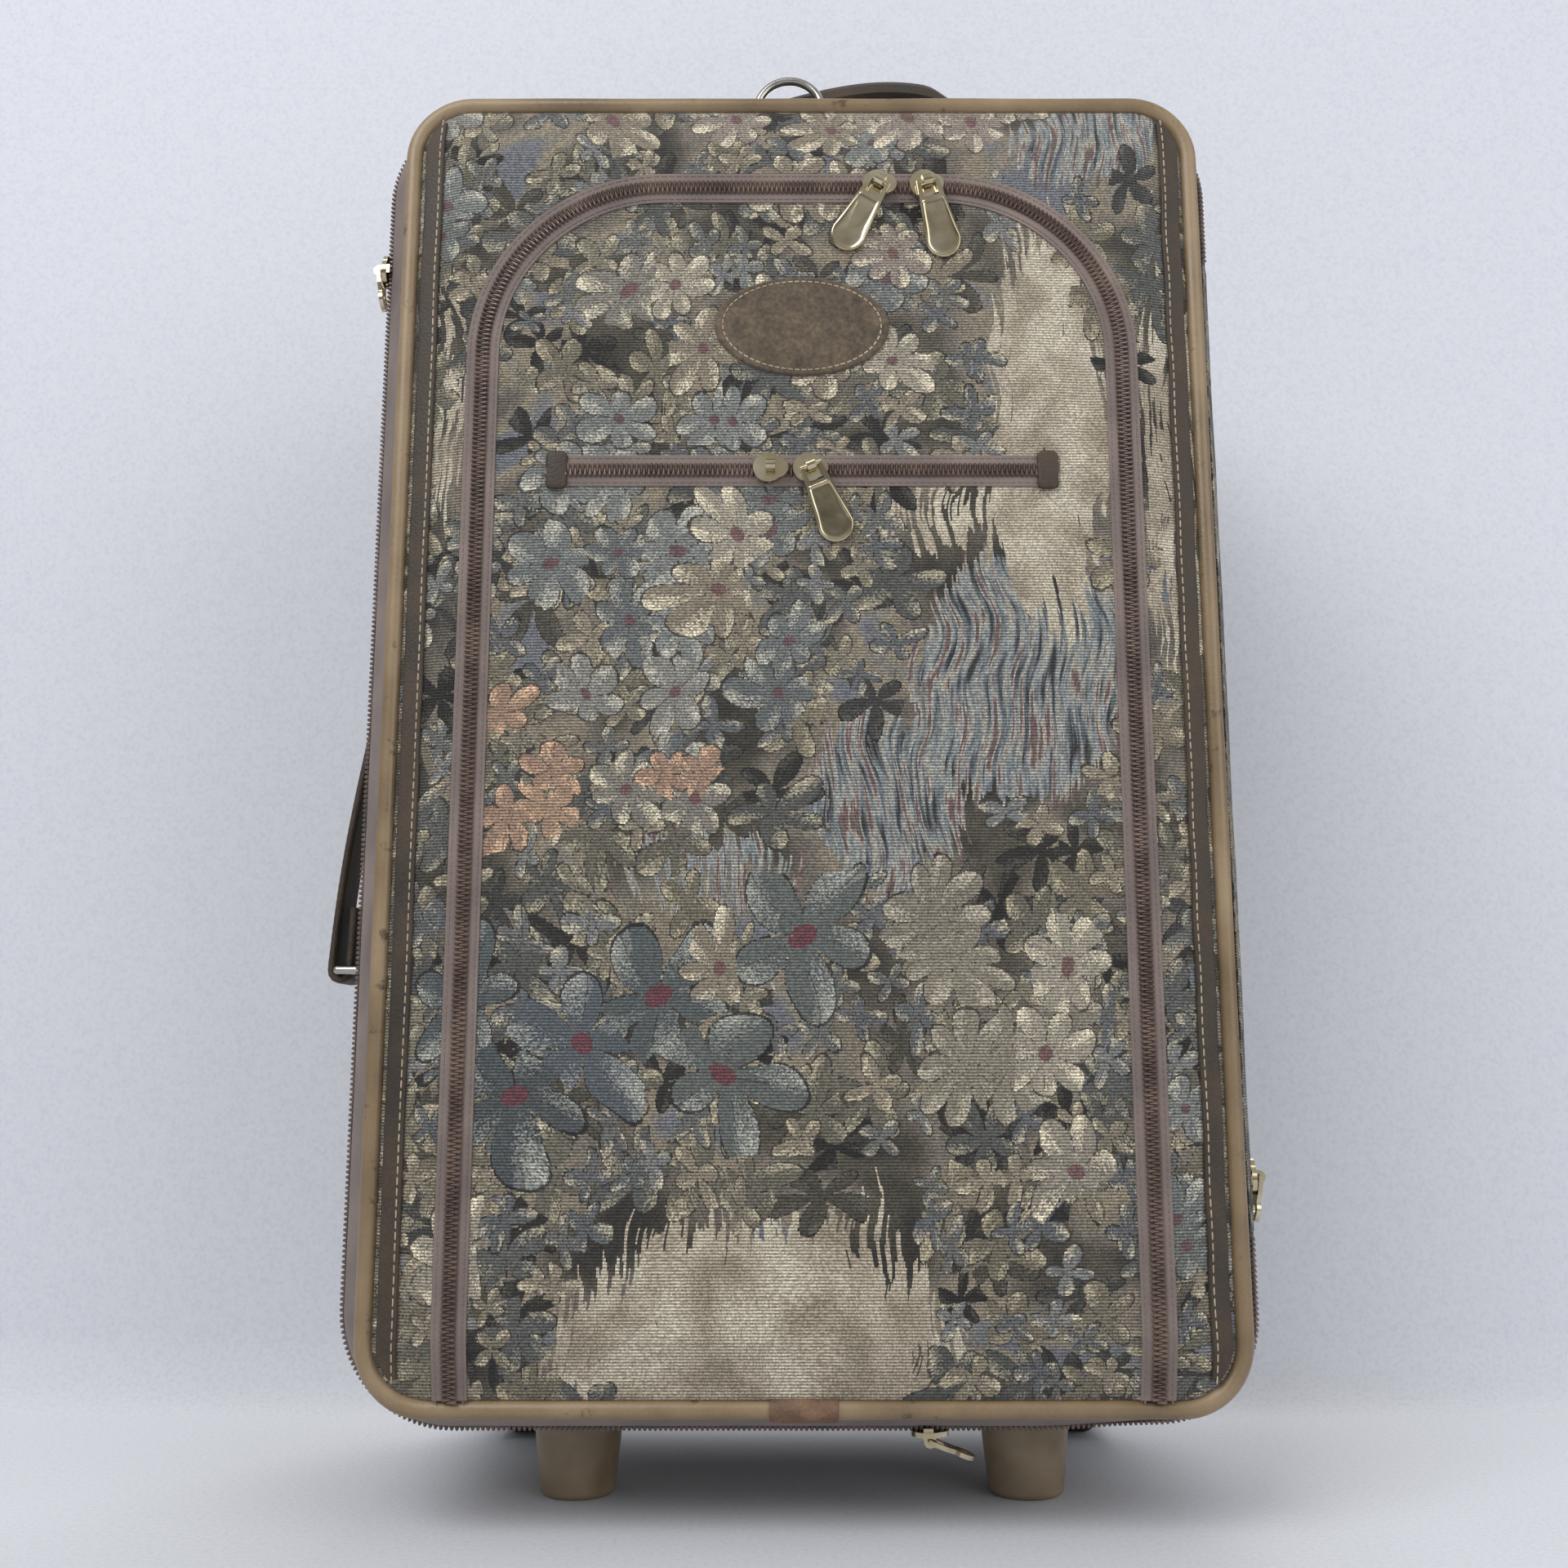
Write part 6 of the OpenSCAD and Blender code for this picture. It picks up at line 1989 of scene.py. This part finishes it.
@dataclass
class Studio:
    """A pale floor and backdrop, soft lights, and the camera at the photograph's angle."""

    datum: Datum
    colour: str = "#d6d8df"
    camera_mm: tuple[float, float, float] = (-7.8, -646.0, 185.5)
    tilt: float = 100.0
    lens: float = 36.1
    wall_gap: float = 40.0
    cove_r: float = 0.038

    def camera(self) -> None:
        """Makes the camera."""
        data = bpy.data.cameras.new("camera")
        data.lens = self.lens
        data.sensor_width = 36.0
        data.clip_start = 0.01
        obj = bpy.data.objects.new("camera", data)
        obj.location = Vector(self.datum.world([self.camera_mm])[0])
        obj.rotation_euler = (math.radians(self.tilt), 0.0, 0.0)
        bpy.context.scene.collection.objects.link(obj)
        bpy.context.scene.camera = obj

    def cloth(self) -> bpy.types.Material:
        """Makes the pale grey knit of the floor and backdrop."""
        material = bpy.data.materials.new("pale_grey_knit")
        material.use_nodes = True
        graph = Graph(material.node_tree)
        shader = next(n for n in graph.tree.nodes if n.type == "BSDF_PRINCIPLED")
        shader.inputs["Roughness"].default_value = 1.0
        shader.inputs["Specular IOR Level"].default_value = 0.0
        graph.add(PLACE_ROWS + [
            ("yarn", "TexNoise", "place", {"Scale": 1 / 2.2, "Detail": 3.0}),
            ("shade", "ValToRGB", "yarn"),
        ])
        graph.ramp("shade", ((0.3, "#cfd1d9"), (0.5, self.colour), (0.7, "#d9dbe1")))
        graph.link("shade", shader.inputs["Base Color"])
        return material

    def stage(self) -> None:
        """Makes the floor and the backdrop. The backdrop takes shadows but casts none, and is open from behind."""
        material = self.cloth()
        back = self.datum.world([[0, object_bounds()[1].y / MM - self.datum.y + self.wall_gap, 0]])[0][1]
        r = self.cove_r
        turn = np.radians(np.linspace(-90, 0, 13))
        cove = [(back - r + r * math.cos(a), r + r * math.sin(a)) for a in turn] + [(back, 5.0)]
        for name, line in (("floor", [(-12.0, 0.0), (12.0, 0.0)]), ("backdrop", cove)):
            points = [(x, y, z) for y, z in line for x in (-12.0, 12.0)]
            mesh = bpy.data.meshes.new(name)
            mesh.from_pydata(points, [], [(2 * i, 2 * i + 1, 2 * i + 3, 2 * i + 2) for i in range(len(line) - 1)])
            mesh.materials.append(material)
            mesh.shade_smooth()
            obj = bpy.data.objects.new(name, mesh)
            bpy.context.scene.collection.objects.link(obj)
            obj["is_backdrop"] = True
            if name == "backdrop":
                self.open_from_behind(obj)

    def open_from_behind(self, wall: Piece) -> None:
        """Lets the backdrop's rear be seen through, so that the case shows from all sides."""
        wall.visible_shadow = False
        wall.visible_diffuse = False
        wall.visible_glossy = False
        material = wall.data.materials[0].copy()
        material.name = "pale_grey_knit_backdrop"
        wall.data.materials[0] = material
        nodes = {n.type: n for n in material.node_tree.nodes}
        graph = Graph(material.node_tree, {"cloth": nodes["BSDF_PRINCIPLED"].outputs[0]})
        graph.add([("side", "NewGeometry"), ("clear", "BsdfTransparent"),
                           ("one_sided", "MixShader", "side.Backfacing", "cloth", "clear")])
        graph.link("one_sided", nodes["OUTPUT_MATERIAL"].inputs[0])

    def lights(self) -> None:
        """Makes soft lamps above, in front and behind, and an even pale world."""
        for name, place, aim, size, power in (
                ("key", (-0.9, -1.5, 1.7), (0, 0, 0.35), 1.3, 27), ("fill", (1.3, -1.3, 0.9), (0, 0, 0.3), 1.4, 11),
                ("back", (0.4, 1.8, 1.6), (0, 0, 0.35), 1.4, 20)):
            data = bpy.data.lights.new(name, "AREA")
            data.size = size
            data.energy = power
            obj = bpy.data.objects.new(name, data)
            obj.location = place
            obj.rotation_euler = (Vector(aim) - Vector(place)).to_track_quat("-Z", "Y").to_euler()
            bpy.context.scene.collection.objects.link(obj)
        world = bpy.data.worlds.new("studio")
        world.use_nodes = True
        bpy.context.scene.world = world
        background = next(n for n in world.node_tree.nodes if n.type == "BACKGROUND")
        background.inputs["Strength"].default_value = 0.55
        graph = Graph(world.node_tree)
        # Bright above and dark below, so that metal shows a bright and a dark side
        graph.add([("coords", "TexCoord"), ("xyz", "SeparateXYZ", "coords.Generated"),
                                      ("height", "MapRange", "xyz.Z", -0.5, 0.8),
                                      ("sky", "ValToRGB", "height")])
        graph.ramp("sky", ((0.0, "#4c4b4a"), (0.38, "#8b8b8c"), (0.55, "#d9dade"), (1.0, "#ffffff")))
        graph.link("sky", background.inputs["Color"])

    def build(self) -> None:
        """Builds the studio."""
        self.camera()
        self.stage()
        self.lights()
        bpy.context.scene.view_settings.view_transform = "Standard"


def main(frame: dict) -> None:
    """Builds the studio and every sub-assembly in order.

    Args:
        frame: the loaded CAD frame.
    """
    logging.basicConfig(level=logging.INFO, format="%(message)s")
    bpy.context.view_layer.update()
    datum = Datum.from_frame()
    finishes = Finishes()
    Studio(datum).build()
    Front(datum, finishes).build()
    Case(datum, finishes).build()
    Handles(datum, finishes).build()
    joints = {joint["name"]: joint for joint in frame["record"]["behaviour"]["joints"]}
    Hardware(datum, finishes, frame["nodes"], joints).build()
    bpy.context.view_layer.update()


if __name__ == "__main__":
    main(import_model())
